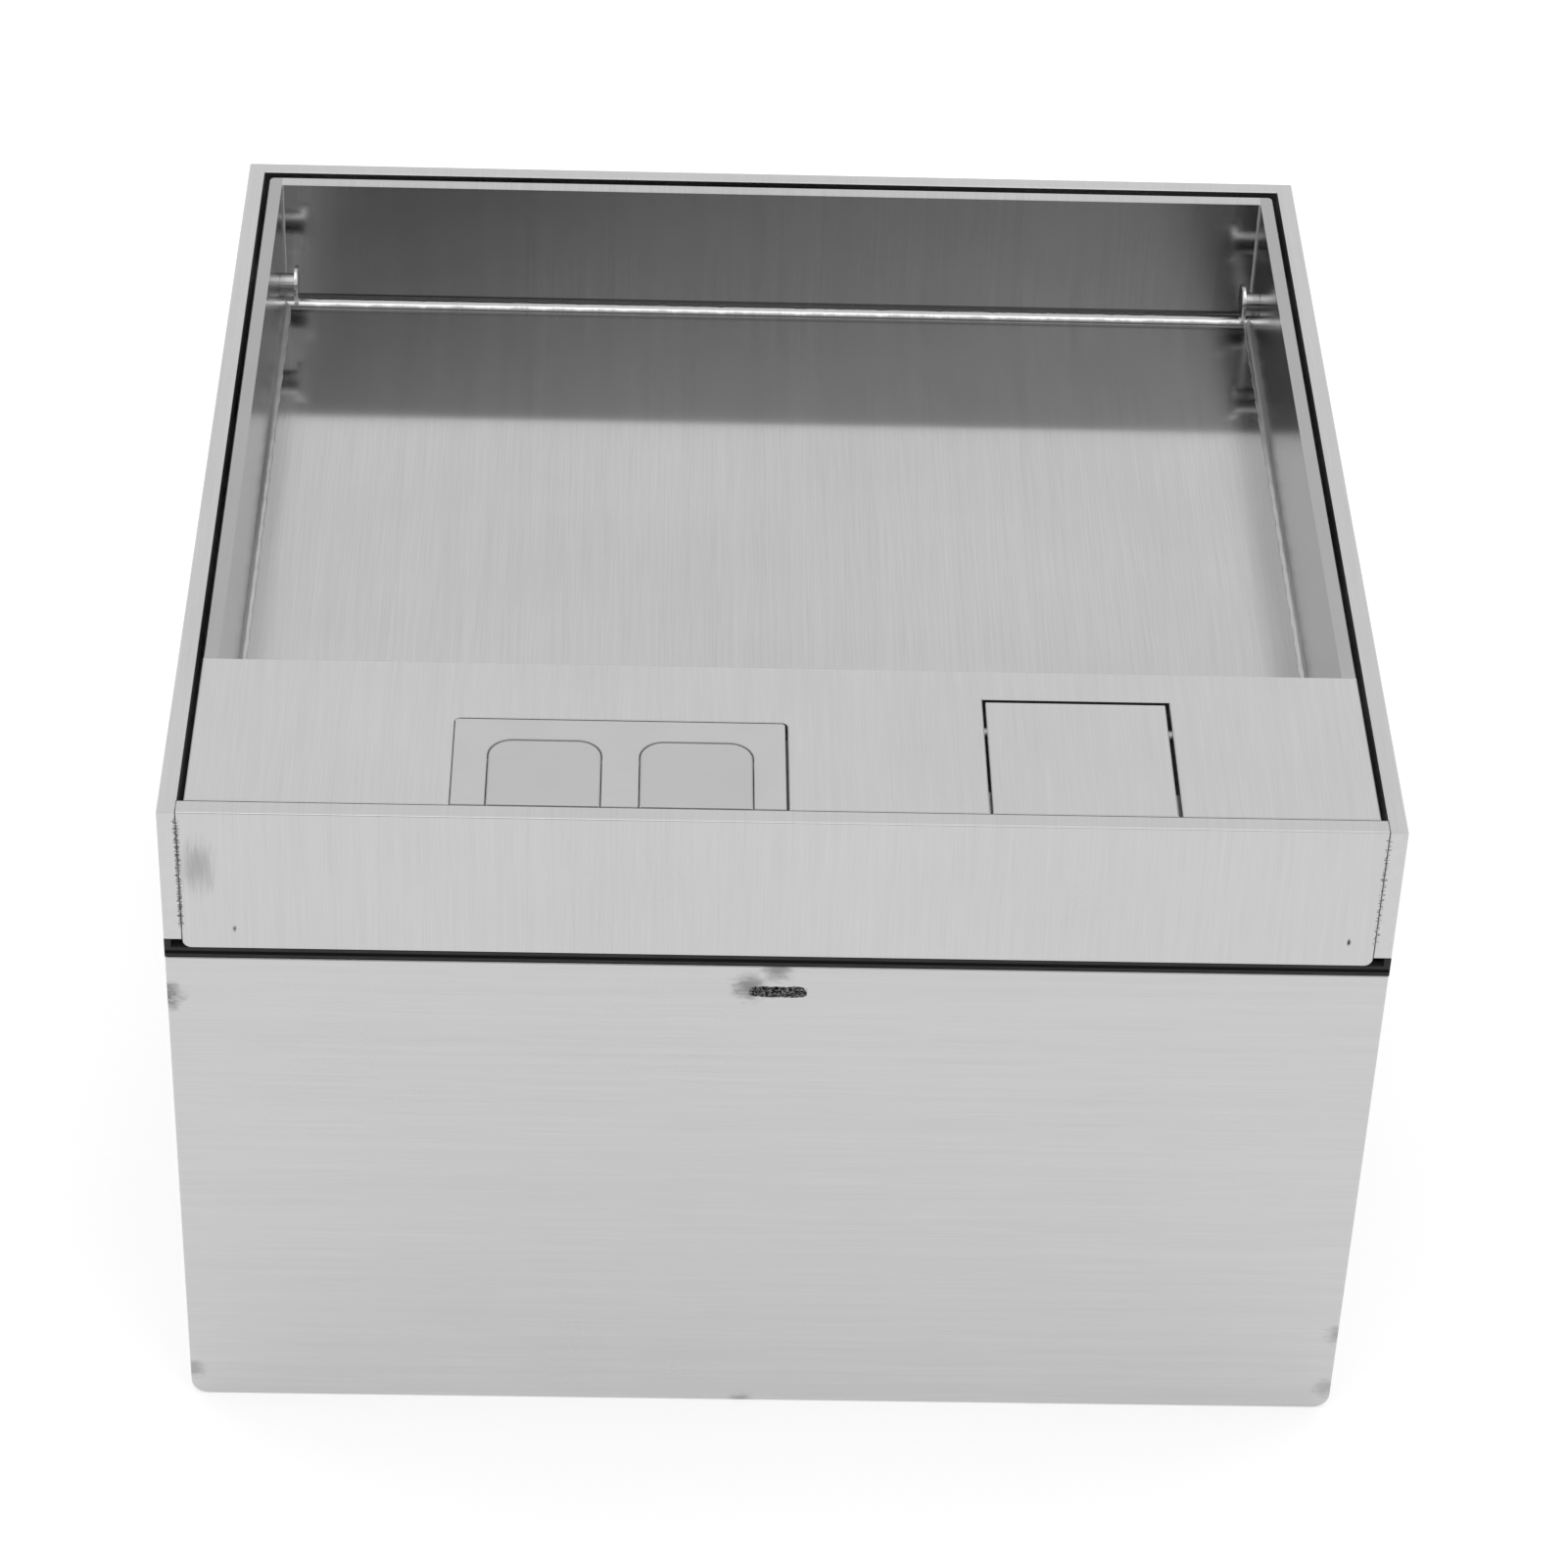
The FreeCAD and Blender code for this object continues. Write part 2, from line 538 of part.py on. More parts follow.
def make_strap_screws():
    """Pan-head screws that clamp the straps to the box walls."""
    body = add_body("strap_screws")
    reach = "Size.strap_sheet + Size.box_sheet"
    head, shank = "Size.screw_head_radius", "Size.screw_radius"
    face, bevel = "-Size.screw_head_height", "Size.screw_head_bevel"
    corners = [(face, "0"), (face, f"{head} - {bevel}"), (f"{face} + {bevel}", head), ("0", head),
               ("0", shank), (reach, shank), (reach, "0")]
    turn(body, "H_Axis", corners)
    place(body, "At.strap_x", "Size.strap_place", "At.strap_screw_z")
    mirrored_group("strap_screws", body, [(Vector(1, 0, 0), "0"), (Vector(0, 1, 0), "0")])


# ---- what the closed lid rests on ----

def make_rest_rail(label, side):
    """Angle welded inside a side wall, under the tray."""
    body = add_body(label)
    edge, leg = "At.wall_x - Size.rail_wide", "Size.rail_sheet"
    profile = [("At.wall_x", "At.rail_top"), (edge, "At.rail_top"), (edge, f"At.rail_top - {leg}"),
               (f"At.wall_x - {leg}", f"At.rail_top - {leg}", "Size.rail_bend"),
               (f"At.wall_x - {leg}", "At.rail_top - Size.rail_drop"),
               ("At.wall_x", "At.rail_top - Size.rail_drop")]
    profile = [(f"{side} * ({item[0]})",) + item[1:] for item in profile]
    pad(body, "XZ", "-Size.rail_half_length", "Size.rail_half_length", outlines=[profile])


def make_rest_pad(label, side):
    """Rubber strip on a rail, just under the closed tray."""
    inner = "At.wall_x - Size.rail_wide + Size.pad_inset"
    across = span(side, inner, f"{inner} + Size.pad_wide")
    reach = "Size.rail_half_length - Size.pad_inset"
    block(label, across, (f"-({reach})", reach), ("At.rail_top", "At.lid_bottom - Size.rest_gap"))


def make_front_ledge(label, low, high):
    """Angle welded inside the front plate, under the strip."""
    body = add_body(label)
    top = "At.strip_bottom - Size.rest_gap"
    leg = "Size.ledge_sheet"
    profile = [("-At.bar_y", top), ("-At.bar_y", f"{top} - Size.ledge_drop"),
               (f"-At.bar_y + {leg}", f"{top} - Size.ledge_drop"),
               (f"-At.bar_y + {leg}", f"{top} - {leg}", "Size.ledge_bend"),
               ("-At.bar_y + Size.ledge_deep", f"{top} - {leg}"), ("-At.bar_y + Size.ledge_deep", top)]
    pad(body, "YZ", low, high, outlines=[profile])


# ---- lid ----

def make_lid_pan():
    """Front wall, floor and rear wall of the tray, bent from one sheet."""
    body = add_body("lid_pan")
    outer, inner = "Size.tray_bend + Size.lid_sheet", "Size.tray_bend"
    step, wall = "At.strip_rear - Size.lid_sheet", "At.lid_rear - Size.lid_sheet"
    profile = [(step, "At.strip_bottom"), (step, "At.lid_bottom", outer),
               ("At.lid_rear", "At.lid_bottom", outer), ("At.lid_rear", "At.top"), (wall, "At.top"),
               (wall, "At.tray_floor", inner), ("At.strip_rear", "At.tray_floor", inner),
               ("At.strip_rear", "At.strip_bottom")]
    pad(body, "YZ", "-At.tray_x", "At.tray_x", outlines=[profile])
    finish_edges(body, "Chamfer", "Size.steel_edge",
                 lambda edge: lies_at(edge, z="At.top") and edge.BoundBox.YLength < TOUCH)


def make_lid_side(label, side):
    """Side wall of the tray, with a skirt under the strip and the hole for the hinge pin."""
    body = add_body(label)
    outer = "Size.tray_bend + Size.lid_sheet"
    skirt = "At.strip_bottom - Size.skirt"
    step = "At.strip_rear - Size.lid_sheet"
    profile = [("At.lid_front", "At.strip_bottom"), ("At.lid_front", skirt, "Size.tray_bend"), (step, skirt),
               (step, "At.lid_bottom", outer), ("At.lid_rear", "At.lid_bottom", outer),
               ("At.lid_rear", "At.top"), ("At.strip_rear", "At.top"), ("At.strip_rear", "At.strip_bottom")]
    low, high = span(side, "At.tray_x", "At.lid_x")
    pad(body, "YZ", low, high, outlines=[profile],
        circles=[("At.pin_y", "At.pin_z", "Size.pin_radius + Size.pin_fit")])
    outside, inside = f"{side} * At.lid_x", f"{side} * At.tray_x"
    finish_edges(body, "Fillet", "Size.rim_corner", lambda edge: lies_at(edge, x=outside, y="At.lid_rear"))
    finish_edges(body, "Chamfer", "Size.steel_edge",
                 lambda edge: lies_at(edge, z="At.top") and not lies_at(edge, y="At.lid_rear")
                 and not lies_at(edge, x=inside))


def make_lid_strip():
    """Cover strip in front of the tray, with open cut-outs for the cable outlet and the lift tab."""
    body = add_body("lid_strip")
    front = "At.lid_front"
    corner = "Size.outlet_corner + Size.outlet_gap_rear"
    outline = [("-At.lid_x", "At.strip_rear"), ("-At.lid_x", front), ("At.outlet_left", front),
               ("At.outlet_left", "At.outlet_rear", corner), ("At.outlet_right", "At.outlet_rear", corner),
               ("At.outlet_right", front), ("At.tab_left", front), ("At.tab_left", "At.tab_rear"),
               ("At.tab_right", "At.tab_rear"), ("At.tab_right", front), ("At.lid_x", front),
               ("At.lid_x", "At.strip_rear")]
    pad(body, "XY", "At.strip_bottom", "At.top", outlines=[outline])
    bore = ("At.tab_axis", "At.tab_z", "Size.tab_pin_radius + Size.pin_fit")
    cut(body, "YZ", "At.tab_left - Size.tab_pin_long", "At.tab_right + Size.tab_pin_long", circles=[bore])
    finish_edges(body, "Chamfer", "Size.steel_edge", lambda edge: lies_at(edge, z="At.top"))


def make_lift_tab():
    """Plate that tilts on its pin when its rear end is pressed, with a finger grip under its front."""
    body = add_body("lift_tab")
    left = "At.tab_left + Size.tab_gap_left"
    right = "At.tab_right - Size.tab_gap_right"
    rear = "At.tab_rear - Size.tab_rear_gap"
    pad(body, "XY", "At.strip_bottom", "At.top", outlines=[rectangle(left, right, "At.lid_front", rear)])
    bore = ("At.tab_axis", "At.tab_z", "Size.tab_pin_radius + Size.pin_fit")
    cut(body, "YZ", left, right, circles=[bore])
    for radius, across in (("Size.tab_grip", "At.lid_front"), ("Size.tab_round", rear)):
        finish_edges(body, "Fillet", radius, lambda edge: lies_at(edge, z="At.strip_bottom", y=across))
    finish_edges(body, "Chamfer", "Size.steel_edge", lambda edge: lies_at(edge, z="At.top"))


def flap_middle(side):
    """Place along X of one flap's middle."""
    return f"(Size.outlet_place + {side} * Size.flap_pitch / 2)"


def make_outlet_insert():
    """Moulding with two arched openings, a bridge below their mouths, cored webs and clip noses."""
    body = add_body("cable_outlet_insert")
    left, right, rear, low = "At.insert_left", "At.insert_right", "At.insert_rear", "At.insert_bottom"
    corner, bridge = "Size.outlet_corner", "At.lid_front + Size.insert_bridge"
    outline = [(left, "At.lid_front"), (right, "At.lid_front"), (right, rear, corner), (left, rear, corner)]
    pad(body, "XY", low, "At.top", outlines=[outline])
    half, back = "(Size.flap_width / 2 + Size.flap_gap)", "At.flap_rear + Size.flap_gap"
    arch = "Size.flap_corner + Size.flap_gap"
    ways = [(f"{flap_middle(side)} - {half}", f"{flap_middle(side)} + {half}") for side in (-1, 1)]
    openings = [[(start, bridge), (end, bridge), (end, back, arch), (start, back, arch)]
                for start, end in ways]
    cut(body, "XY", low, "At.top", outlines=openings)
    rest = "At.top - Size.flap_sheet - Size.rest_gap"
    mouths = [rectangle(start, end, "At.lid_front", bridge) for start, end in ways]
    cut(body, "XY", rest, "At.top", outlines=mouths)
    reach = "Size.flap_pin_long + Size.flap_gap"
    bore = ("At.flap_axis", "At.flap_z", "Size.flap_pin_radius + Size.pin_fit")
    for start, end in ways:
        cut(body, "YZ", f"{start} - {reach}", f"{end} + {reach}", circles=[bore])
    finish_edges(body, "Chamfer", "Size.plastic_edge", lambda edge: lies_at(edge, z="At.top"))
    wall, ends = "Size.insert_wall", ("At.lid_front + Size.core_end", "At.insert_rear - Size.core_end")
    webs = [(left, ways[0][0]), (ways[0][1], ways[1][0]), (ways[1][1], right)]
    cores = [rectangle(f"{start} + {wall}", f"{end} - {wall}", *ends) for start, end in webs]
    cut(body, "XY", low, "At.top - Size.insert_roof", outlines=cores)
    nose_top = "At.strip_bottom - Size.nose_fit"
    noses = [rectangle(f"{left} - Size.insert_nose", left, bridge, rear),
             rectangle(right, f"{right} + Size.insert_nose", bridge, rear)]
    pad(body, "XY", f"{nose_top} - Size.nose_height", nose_top, outlines=noses)


def make_cable_flap(label, side):
    """Arched flap with a trunnion at each side, near its rounded rear end."""
    body = add_body(label)
    start, end = f"{flap_middle(side)} - Size.flap_width / 2", f"{flap_middle(side)} + Size.flap_width / 2"
    corner = "Size.flap_corner"
    outline = [(start, "At.lid_front"), (end, "At.lid_front"), (end, "At.flap_rear", corner),
               (start, "At.flap_rear", corner)]
    pad(body, "XY", "At.top - Size.flap_sheet", "At.top", outlines=[outline])
    finish_edges(body, "Fillet", "Size.flap_round", lambda edge: lies_at(edge, z="At.top", y="At.flap_rear"))
    trunnion = ("At.flap_axis", "At.flap_z", "Size.flap_pin_radius")
    pad(body, "YZ", f"{start} - Size.flap_pin_long", f"{end} + Size.flap_pin_long", circles=[trunnion])


# ---- hinge ----

def make_hinge_pin(label, side):
    """Pin with a thin round head on a collar inside the tray; its shank ends in the slot of the bar."""
    body = add_body(label)
    collar = "-Size.pin_collar_seat - Size.pin_collar"
    face = f"{collar} - Size.pin_head_sheet"
    shank, reach = "Size.pin_radius", "At.bar_x + Size.slot_deep - Size.pin_end_gap - At.tray_x"
    head, neck, bevel = "Size.pin_head_radius", "Size.pin_collar_radius", "Size.pin_head_bevel"
    corners = [(face, "0"), (face, f"{head} - {bevel}"), (f"{face} + {bevel}", head), (collar, head),
               (collar, neck), ("-Size.pin_collar_seat", neck), ("-Size.pin_collar_seat", shank),
               (reach, shank), (reach, "0")]
    corners = [(f"{side} * ({along})", radius) for along, radius in corners]
    turn(body, "H_Axis", corners)
    place(body, f"{side} * At.tray_x", "At.pin_y", "At.pin_z")


def make_hinge_washers():
    """Thin washers on the pins, between the lid and the bars."""
    body = add_body("hinge_washers")
    bore = "Size.pin_radius + Size.pin_fit"
    start = "(Size.side_gap - Size.washer_sheet) / 2"
    pad(body, "YZ", f"At.lid_x + {start}", f"At.lid_x + {start} + Size.washer_sheet",
        circles=[("At.pin_y", "At.pin_z", "Size.washer_radius"), ("At.pin_y", "At.pin_z", bore)])
    mirrored_group("hinge_washers", body, [(Vector(1, 0, 0), "0")])


# ---- socket carrier and modules ----

def make_carrier():
    """Hat-shaped bracket with three square cut-outs for 45 mm modules."""
    body = add_body("socket_carrier")
    sheet, inner = "Size.carrier_sheet", "Size.carrier_bend"
    outer = "Size.carrier_bend + Size.carrier_sheet"
    front, rear, top = "At.carrier_front", "At.carrier_rear", "Size.carrier_up"
    floor, foot = "Size.box_sheet", "At.foot_top"
    profile = [(f"{front} - Size.carrier_foot", floor), (f"{front} + {sheet}", floor, outer),
               (f"{front} + {sheet}", f"{top} - {sheet}", inner),
               (f"{rear} - {sheet}", f"{top} - {sheet}", inner), (f"{rear} - {sheet}", floor, outer),
               (f"{rear} + Size.carrier_foot", floor), (f"{rear} + Size.carrier_foot", foot),
               (rear, foot, inner), (rear, top, outer), (front, top, outer), (front, foot, inner),
               (f"{front} - Size.carrier_foot", foot)]
    pad(body, "YZ", "-Size.carrier_long / 2", "Size.carrier_long / 2", outlines=[profile])
    half = "Size.cutout / 2"
    first = rectangle(f"-Size.module_pitch - {half}", f"-Size.module_pitch + {half}",
                      f"Size.carrier_place - {half}", f"Size.carrier_place + {half}")
    opening = cut(body, "XY", f"{top} - {sheet}", top, outlines=[first])
    row = body.newObject("PartDesign::LinearPattern", "module_cutouts")
    row.Originals = [opening]
    row.Direction = (opening.Profile[0], ["H_Axis"])
    row.setExpression("Length", "Size.module_pitch * 2")
    row.Occurrences = 3
    body.Tip = row
    doc.recompute()
    hole = "Size.stud_radius + Size.stud_hole_fit"
    holes = [(f"{x} * Size.carrier_stud_place", deep, hole) for x in (-1, 1)
             for deep in ("At.foot_front", "At.foot_rear")]
    cut(body, "XY", floor, foot, circles=holes)


def make_carrier_studs():
    """Weld studs on the box floor that hold the carrier's feet."""
    stud = doc.addObject("Part::Cylinder", "carrier_studs")
    stud.setExpression("Radius", "Size.stud_radius")
    stud.setExpression("Height", "Size.stud_long")
    place(stud, "Size.carrier_stud_place", "At.foot_rear", "Size.box_sheet")
    nodes.append(stud)
    mirrored_group("carrier_studs", stud, [(Vector(1, 0, 0), "0"), (Vector(0, 1, 0), "Size.carrier_place")])


def make_nut(label, width, height, bore):
    """Hexagon nut from a prism with a round hole."""
    prism = doc.addObject("Part::Prism", label + "_prism")
    prism.Polygon = 6
    prism.setExpression("Circumradius", f"({width}) / sqrt(3)")
    prism.setExpression("Height", height)
    hole = doc.addObject("Part::Cylinder", label + "_hole")
    hole.setExpression("Radius", bore)
    hole.setExpression("Height", height)
    nut = doc.addObject("Part::Cut", label)
    nut.Base = prism
    nut.Tool = hole
    nut.Label = label
    nodes.append(nut)
    doc.recompute()
    return nut


def make_carrier_nuts():
    """Nuts on the four carrier studs."""
    nut = make_nut("carrier_nuts", "Size.nut_width", "Size.nut_height", "Size.stud_radius + Size.thread_fit")
    place(nut, "Size.carrier_stud_place", "At.foot_rear", "At.foot_top")
    mirrored_group("carrier_nuts", nut, [(Vector(1, 0, 0), "0"), (Vector(0, 1, 0), "Size.carrier_place")])


def square_corners(width, radius):
    """Corners of a centred square with rounded corners."""
    half = f"({width}) / 2"
    return [(f"-{half}", f"-{half}", radius), (half, f"-{half}", radius), (half, half, radius),
            (f"-{half}", half, radius)]


def start_module(label, body_deep):
    """Face plate and body that every 45 mm module shares, with the face's seat at Z 0."""
    body = add_body(label)
    face = square_corners("Size.module_face", "Size.module_corner")
    pad(body, "XY", "0", "At.face_top", outlines=[face])
    housing = square_corners("Size.module_body", "Size.module_corner")
    pad(body, "XY", f"-{body_deep}", "0", outlines=[housing])
    return body


def seat_module(body, step):
    """Move a module to its cut-out, counted from the middle one."""
    place(body, f"{step} * Size.module_pitch", "Size.carrier_place", "Size.carrier_up + Size.module_seat")


def make_power_socket(label, step):
    """Earthed socket: round well, two guide noses, two contact holes and two slots for earth clips."""
    body = start_module(label, "Size.module_body_deep")
    cut(body, "XY", "At.well_bottom", "At.face_top", circles=[("0", "0", "Size.well_radius")])
    half = "Size.nose_wide / 2"
    near, far = "Size.well_radius - Size.nose_deep", "Size.well_radius + Size.nose_root"
    noses = [rectangle(*span(side, near, far), f"-{half}", half) for side in (-1, 1)]
    pad(body, "XY", "At.well_bottom", "At.face_top - Size.nose_below", outlines=noses)
    holes = [(f"{side} * Size.hole_pitch / 2", "0", "Size.hole_radius") for side in (-1, 1)]
    cut(body, "XY", "At.well_bottom - Size.hole_deep", "At.well_bottom", circles=holes)
    reach = "(Size.clip_wide / 2 + Size.clip_slot_fit)"
    outer = "Size.clip_out + Size.clip_slot_fit"
    slots = [rectangle(f"-{reach}", reach, *span(side, "Size.well_radius - Size.nose_deep", outer))
             for side in (-1, 1)]
    low = "At.clip_top - Size.clip_tall - Size.clip_slot_fit"
    cut(body, "XY", low, "At.face_top", outlines=slots)
    seat_module(body, step)


def make_earth_clips():
    """Four bent spring strips, two in each power socket."""
    body = add_body("earth_clips")
    out, sheet, bulge = "Size.clip_out", "Size.clip_sheet", "Size.clip_bulge"
    foot = "At.clip_top - Size.clip_tall"
    inner = f"{out} - {sheet}"
    bend = "Size.clip_tall / 5"
    profile = [(out, foot), (out, f"{foot} + {bend}"), (f"{out} - {bulge}", f"{foot} + {bend} * 2.4"),
               (f"{out} - {bulge}", f"{foot} + {bend} * 3.2"), (out, f"{foot} + {bend} * 4.6"),
               (out, "At.clip_top"), (inner, "At.clip_top"), (inner, f"{foot} + {bend} * 4.5"),
               (f"{inner} - {bulge}", f"{foot} + {bend} * 3.3"),
               (f"{inner} - {bulge}", f"{foot} + {bend} * 2.3"), (inner, f"{foot} + {bend} * 0.9"),
               (inner, foot)]
    pad(body, "YZ", "-Size.clip_wide / 2", "Size.clip_wide / 2", outlines=[profile])
    seat_module(body, -1)
    mirrored_group("socket_earth_clips", body,
                   [(Vector(0, 1, 0), "Size.carrier_place"), (Vector(1, 0, 0), "-Size.module_pitch / 2")])


def make_data_module():
    """Module frame with two square windows for data jacks."""
    body = start_module("data_module", "Size.data_body_deep")
    wide, deep = "(Size.jack_wide / 2 + Size.jack_fit)", "(Size.jack_long / 2 + Size.jack_fit)"
    windows = [rectangle(f"{side} * Size.jack_pitch / 2 - {wide}", f"{side} * Size.jack_pitch / 2 + {wide}",
                         f"-{deep}", deep) for side in (-1, 1)]
    cut(body, "XY", "-Size.data_body_deep", "At.face_top", outlines=windows)
    seat_module(body, 1)


def make_data_jack(label, side):
    """Data jack with a stepped mouth for the plug and its latch."""
    body = add_body(label)
    top = "At.face_top - Size.jack_below"
    wide, deep = "Size.jack_wide / 2", "Size.jack_long / 2"
    pad(body, "XY", f"{top} - Size.jack_deep", top, outlines=[rectangle(f"-{wide}", wide, f"-{deep}", deep)])
    port, latch, end = "Size.port_wide / 2", "Size.latch_wide / 2", "Size.latch_end_wide / 2"
    base = "Size.port_long / 2"
    first, second = f"-{base} - Size.latch_long", f"-{base} - Size.latch_long - Size.latch_end_long"
    mouth = [(f"-{port}", f"-{base}"), (f"-{latch}", f"-{base}"), (f"-{latch}", first), (f"-{end}", first),
             (f"-{end}", second), (end, second), (end, first), (latch, first), (latch, f"-{base}"),
             (port, f"-{base}"), (port, base), (f"-{port}", base)]
    cut(body, "XY", f"{top} - Size.port_deep", top, outlines=[mouth])
    place(body, f"Size.module_pitch + {side} * Size.jack_pitch / 2", "Size.carrier_place",
          "Size.carrier_up + Size.module_seat")


# ---- earth terminal ----

def make_earth_terminal():
    """Stud with a weld foot on the box floor, a washer and a nut."""
    stud = add_body("earth_stud")
    foot, shank = "Size.earth_foot_radius", "Size.earth_radius"
    turn(stud, "V_Axis", [("0", "0"), (foot, "0"), (foot, "Size.earth_foot"), (shank, "Size.earth_foot"),
                          (shank, "Size.earth_long"), ("0", "Size.earth_long")])
    place(stud, "At.earth_x", "At.earth_y", "Size.box_sheet")
    washer = add_body("earth_washer")
    pad(washer, "XY", "0", "Size.earth_washer",
        circles=[("0", "0", "Size.earth_washer_radius"), ("0", "0", f"{shank} + Size.thread_fit")])
    place(washer, "At.earth_x", "At.earth_y", "Size.box_sheet + Size.earth_foot")
    nut = make_nut("earth_nut", "Size.earth_nut_width", "Size.earth_nut", f"{shank} + Size.thread_fit")
    place(nut, "At.earth_x", "At.earth_y", "Size.box_sheet + Size.earth_foot + Size.earth_washer")


def make_everything():
    """Build every sub-part of the assembly."""
    make_box_body()
    make_panel("box_front_panel", -1)
    entries = [(f"{x} * Size.back_entry_place", "Size.conduit_up", "Size.conduit_radius") for x in (-1, 1)]
    make_panel("box_back_panel", 1, entries)
    make_stiffener("front_stiffener", -1)
    make_stiffener("back_stiffener", 1)
    make_blanking_plugs()
    make_back_bar()
    make_front_plate()
    make_gasket()
    make_straps()
    make_strap_screws()
    for name, side in SIDES.items():
        make_side_bar(f"frame_{name}_bar", side)
        make_rest_rail(f"lid_rest_{name}", side)
        make_rest_pad(f"rest_pad_{name}", side)
        make_lid_side(f"lid_side_{name}", side)
        make_hinge_pin(f"hinge_pin_{name}", side)
        make_cable_flap(f"cable_flap_{name}", side)
        make_data_jack(f"data_jack_{name}", side)
    end = "At.tray_x - Size.ledge_side_gap"
    make_front_ledge("front_ledge_left", f"-({end})", "At.outlet_left - Size.ledge_clear")
    make_front_ledge("front_ledge_right", "At.outlet_right + Size.ledge_clear", end)
    make_hinge_washers()
    make_lid_pan()
    make_lid_strip()
    make_lift_tab()
    rod("lift_tab_pin", "Size.tab_pin_radius", "At.tab_left - Size.tab_pin_long + Size.pin_fit",
        "At.tab_right + Size.tab_pin_long - Size.pin_fit", "At.tab_axis", "At.tab_z")
    make_outlet_insert()
    make_carrier()
    make_carrier_studs()
    make_carrier_nuts()
    make_power_socket("power_socket_left", -1)
    make_power_socket("power_socket_middle", 0)
    make_earth_clips()
    make_data_module()
    make_earth_terminal()


def check_and_write():
    """Stop on any failed object, then write one STEP file for each node."""
    doc.recompute()
    for item in doc.Objects:
        if "Invalid" in item.State or "Error" in item.State:
            raise ValueError(f"{item.Label}: failed to compute")
    for item in nodes:
        if item.Shape.isNull() or not item.Shape.isValid():
            raise ValueError(f"{item.Label}: shape is not valid")
    os.makedirs("parts", exist_ok=True)
    for item in nodes:
        item.Shape.exportStep(os.path.join("parts", item.Label + ".step"))
        print(item.Label, len(item.Shape.Solids), round(item.Shape.Volume, 1))


make_everything()
check_and_write()
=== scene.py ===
import math
import bpy
import numpy as np
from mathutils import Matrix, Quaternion, Vector


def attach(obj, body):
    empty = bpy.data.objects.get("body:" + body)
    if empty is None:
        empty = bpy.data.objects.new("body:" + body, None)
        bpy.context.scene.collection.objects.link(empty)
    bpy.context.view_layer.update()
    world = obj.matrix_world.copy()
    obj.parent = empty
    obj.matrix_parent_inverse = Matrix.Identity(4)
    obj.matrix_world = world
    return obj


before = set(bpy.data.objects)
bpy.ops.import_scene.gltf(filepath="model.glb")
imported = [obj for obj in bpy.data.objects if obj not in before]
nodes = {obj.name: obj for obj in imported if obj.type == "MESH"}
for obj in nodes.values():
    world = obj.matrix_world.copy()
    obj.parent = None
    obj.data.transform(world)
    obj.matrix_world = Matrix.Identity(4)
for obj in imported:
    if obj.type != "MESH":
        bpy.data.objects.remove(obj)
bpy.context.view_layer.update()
mm = 0.001
print("frame loaded:", len(nodes), "nodes")


# camera

cameraSetup = {
    "place": (-0.0220, -0.7024, 0.6093),
    "aim": (0.0, -0.0900, 0.1300),
    "roll": 2.238,      # degrees, a slight lean of the camera
    "lens": 110.90,
    "sensor": 36.0,
    "near": 0.01, "far": 20,
}


def makeCamera(setup):
    # looks from place to aim, then leans round its own view axis
    data = bpy.data.cameras.new("camera")
    data.lens = setup["lens"]
    data.sensor_width = setup["sensor"]
    data.clip_start = setup["near"]
    data.clip_end = setup["far"]
    camera = bpy.data.objects.new("camera", data)
    bpy.context.scene.collection.objects.link(camera)
    camera.location = setup["place"]
    view = Vector(setup["aim"]) - Vector(setup["place"])
    lean = Quaternion((0, 0, 1), math.radians(setup["roll"]))
    camera.rotation_mode = "QUATERNION"
    camera.rotation_quaternion = view.to_track_quat("-Z", "Y") @ lean
    bpy.context.scene.camera = camera


makeCamera(cameraSetup)


# shader node helpers

def addMap(tree, value, low, high, toLow, toHigh):
    # smooth step from toLow at low to toHigh at high
    node = tree.nodes.new("ShaderNodeMapRange")
    node.interpolation_type = "SMOOTHSTEP"
    for label, number in (("From Min", low), ("From Max", high), ("To Min", toLow), ("To Max", toHigh)):
        node.inputs[label].default_value = number
    tree.links.new(value, node.inputs["Value"])
    return node.outputs["Result"]


def addRamp(tree, value, limits, toLow, toHigh):
    # smooth step of a length in metres between two limits in mm
    low, high = limits
    return addMap(tree, value, low * mm, high * mm, toLow, toHigh)


def addMath(tree, operation, a, b=0.0, clamp=False):
    # one Math node; a and b are sockets or numbers
    node = tree.nodes.new("ShaderNodeMath")
    node.operation = operation
    node.use_clamp = clamp
    for socket, value in zip(node.inputs, (a, b)):
        if isinstance(value, (int, float)):
            socket.default_value = value
        else:
            tree.links.new(value, socket)
    return node.outputs[0]


def times(tree, *values):
    # product of two or more sockets or numbers
    product = values[0]
    for value in values[1:]:
        product = addMath(tree, "MULTIPLY", product, value)
    return product


def vectorMath(tree, operation, vector, numbers):
    # one Vector Math node between a socket and three numbers
    node = tree.nodes.new("ShaderNodeVectorMath")
    node.operation = operation
    node.inputs[1].default_value = numbers
    tree.links.new(vector, node.inputs[0])
    return node.outputs["Value" if operation in ("DISTANCE", "DOT_PRODUCT") else "Vector"]


def splitAxes(tree, vector):
    # the three parts of a vector
    node = tree.nodes.new("ShaderNodeSeparateXYZ")
    tree.links.new(vector, node.inputs[0])
    return node.outputs


def awayFrom(tree, value, middle):
    # distance of a value from a number
    return addMath(tree, "ABSOLUTE", addMath(tree, "SUBTRACT", value, middle))


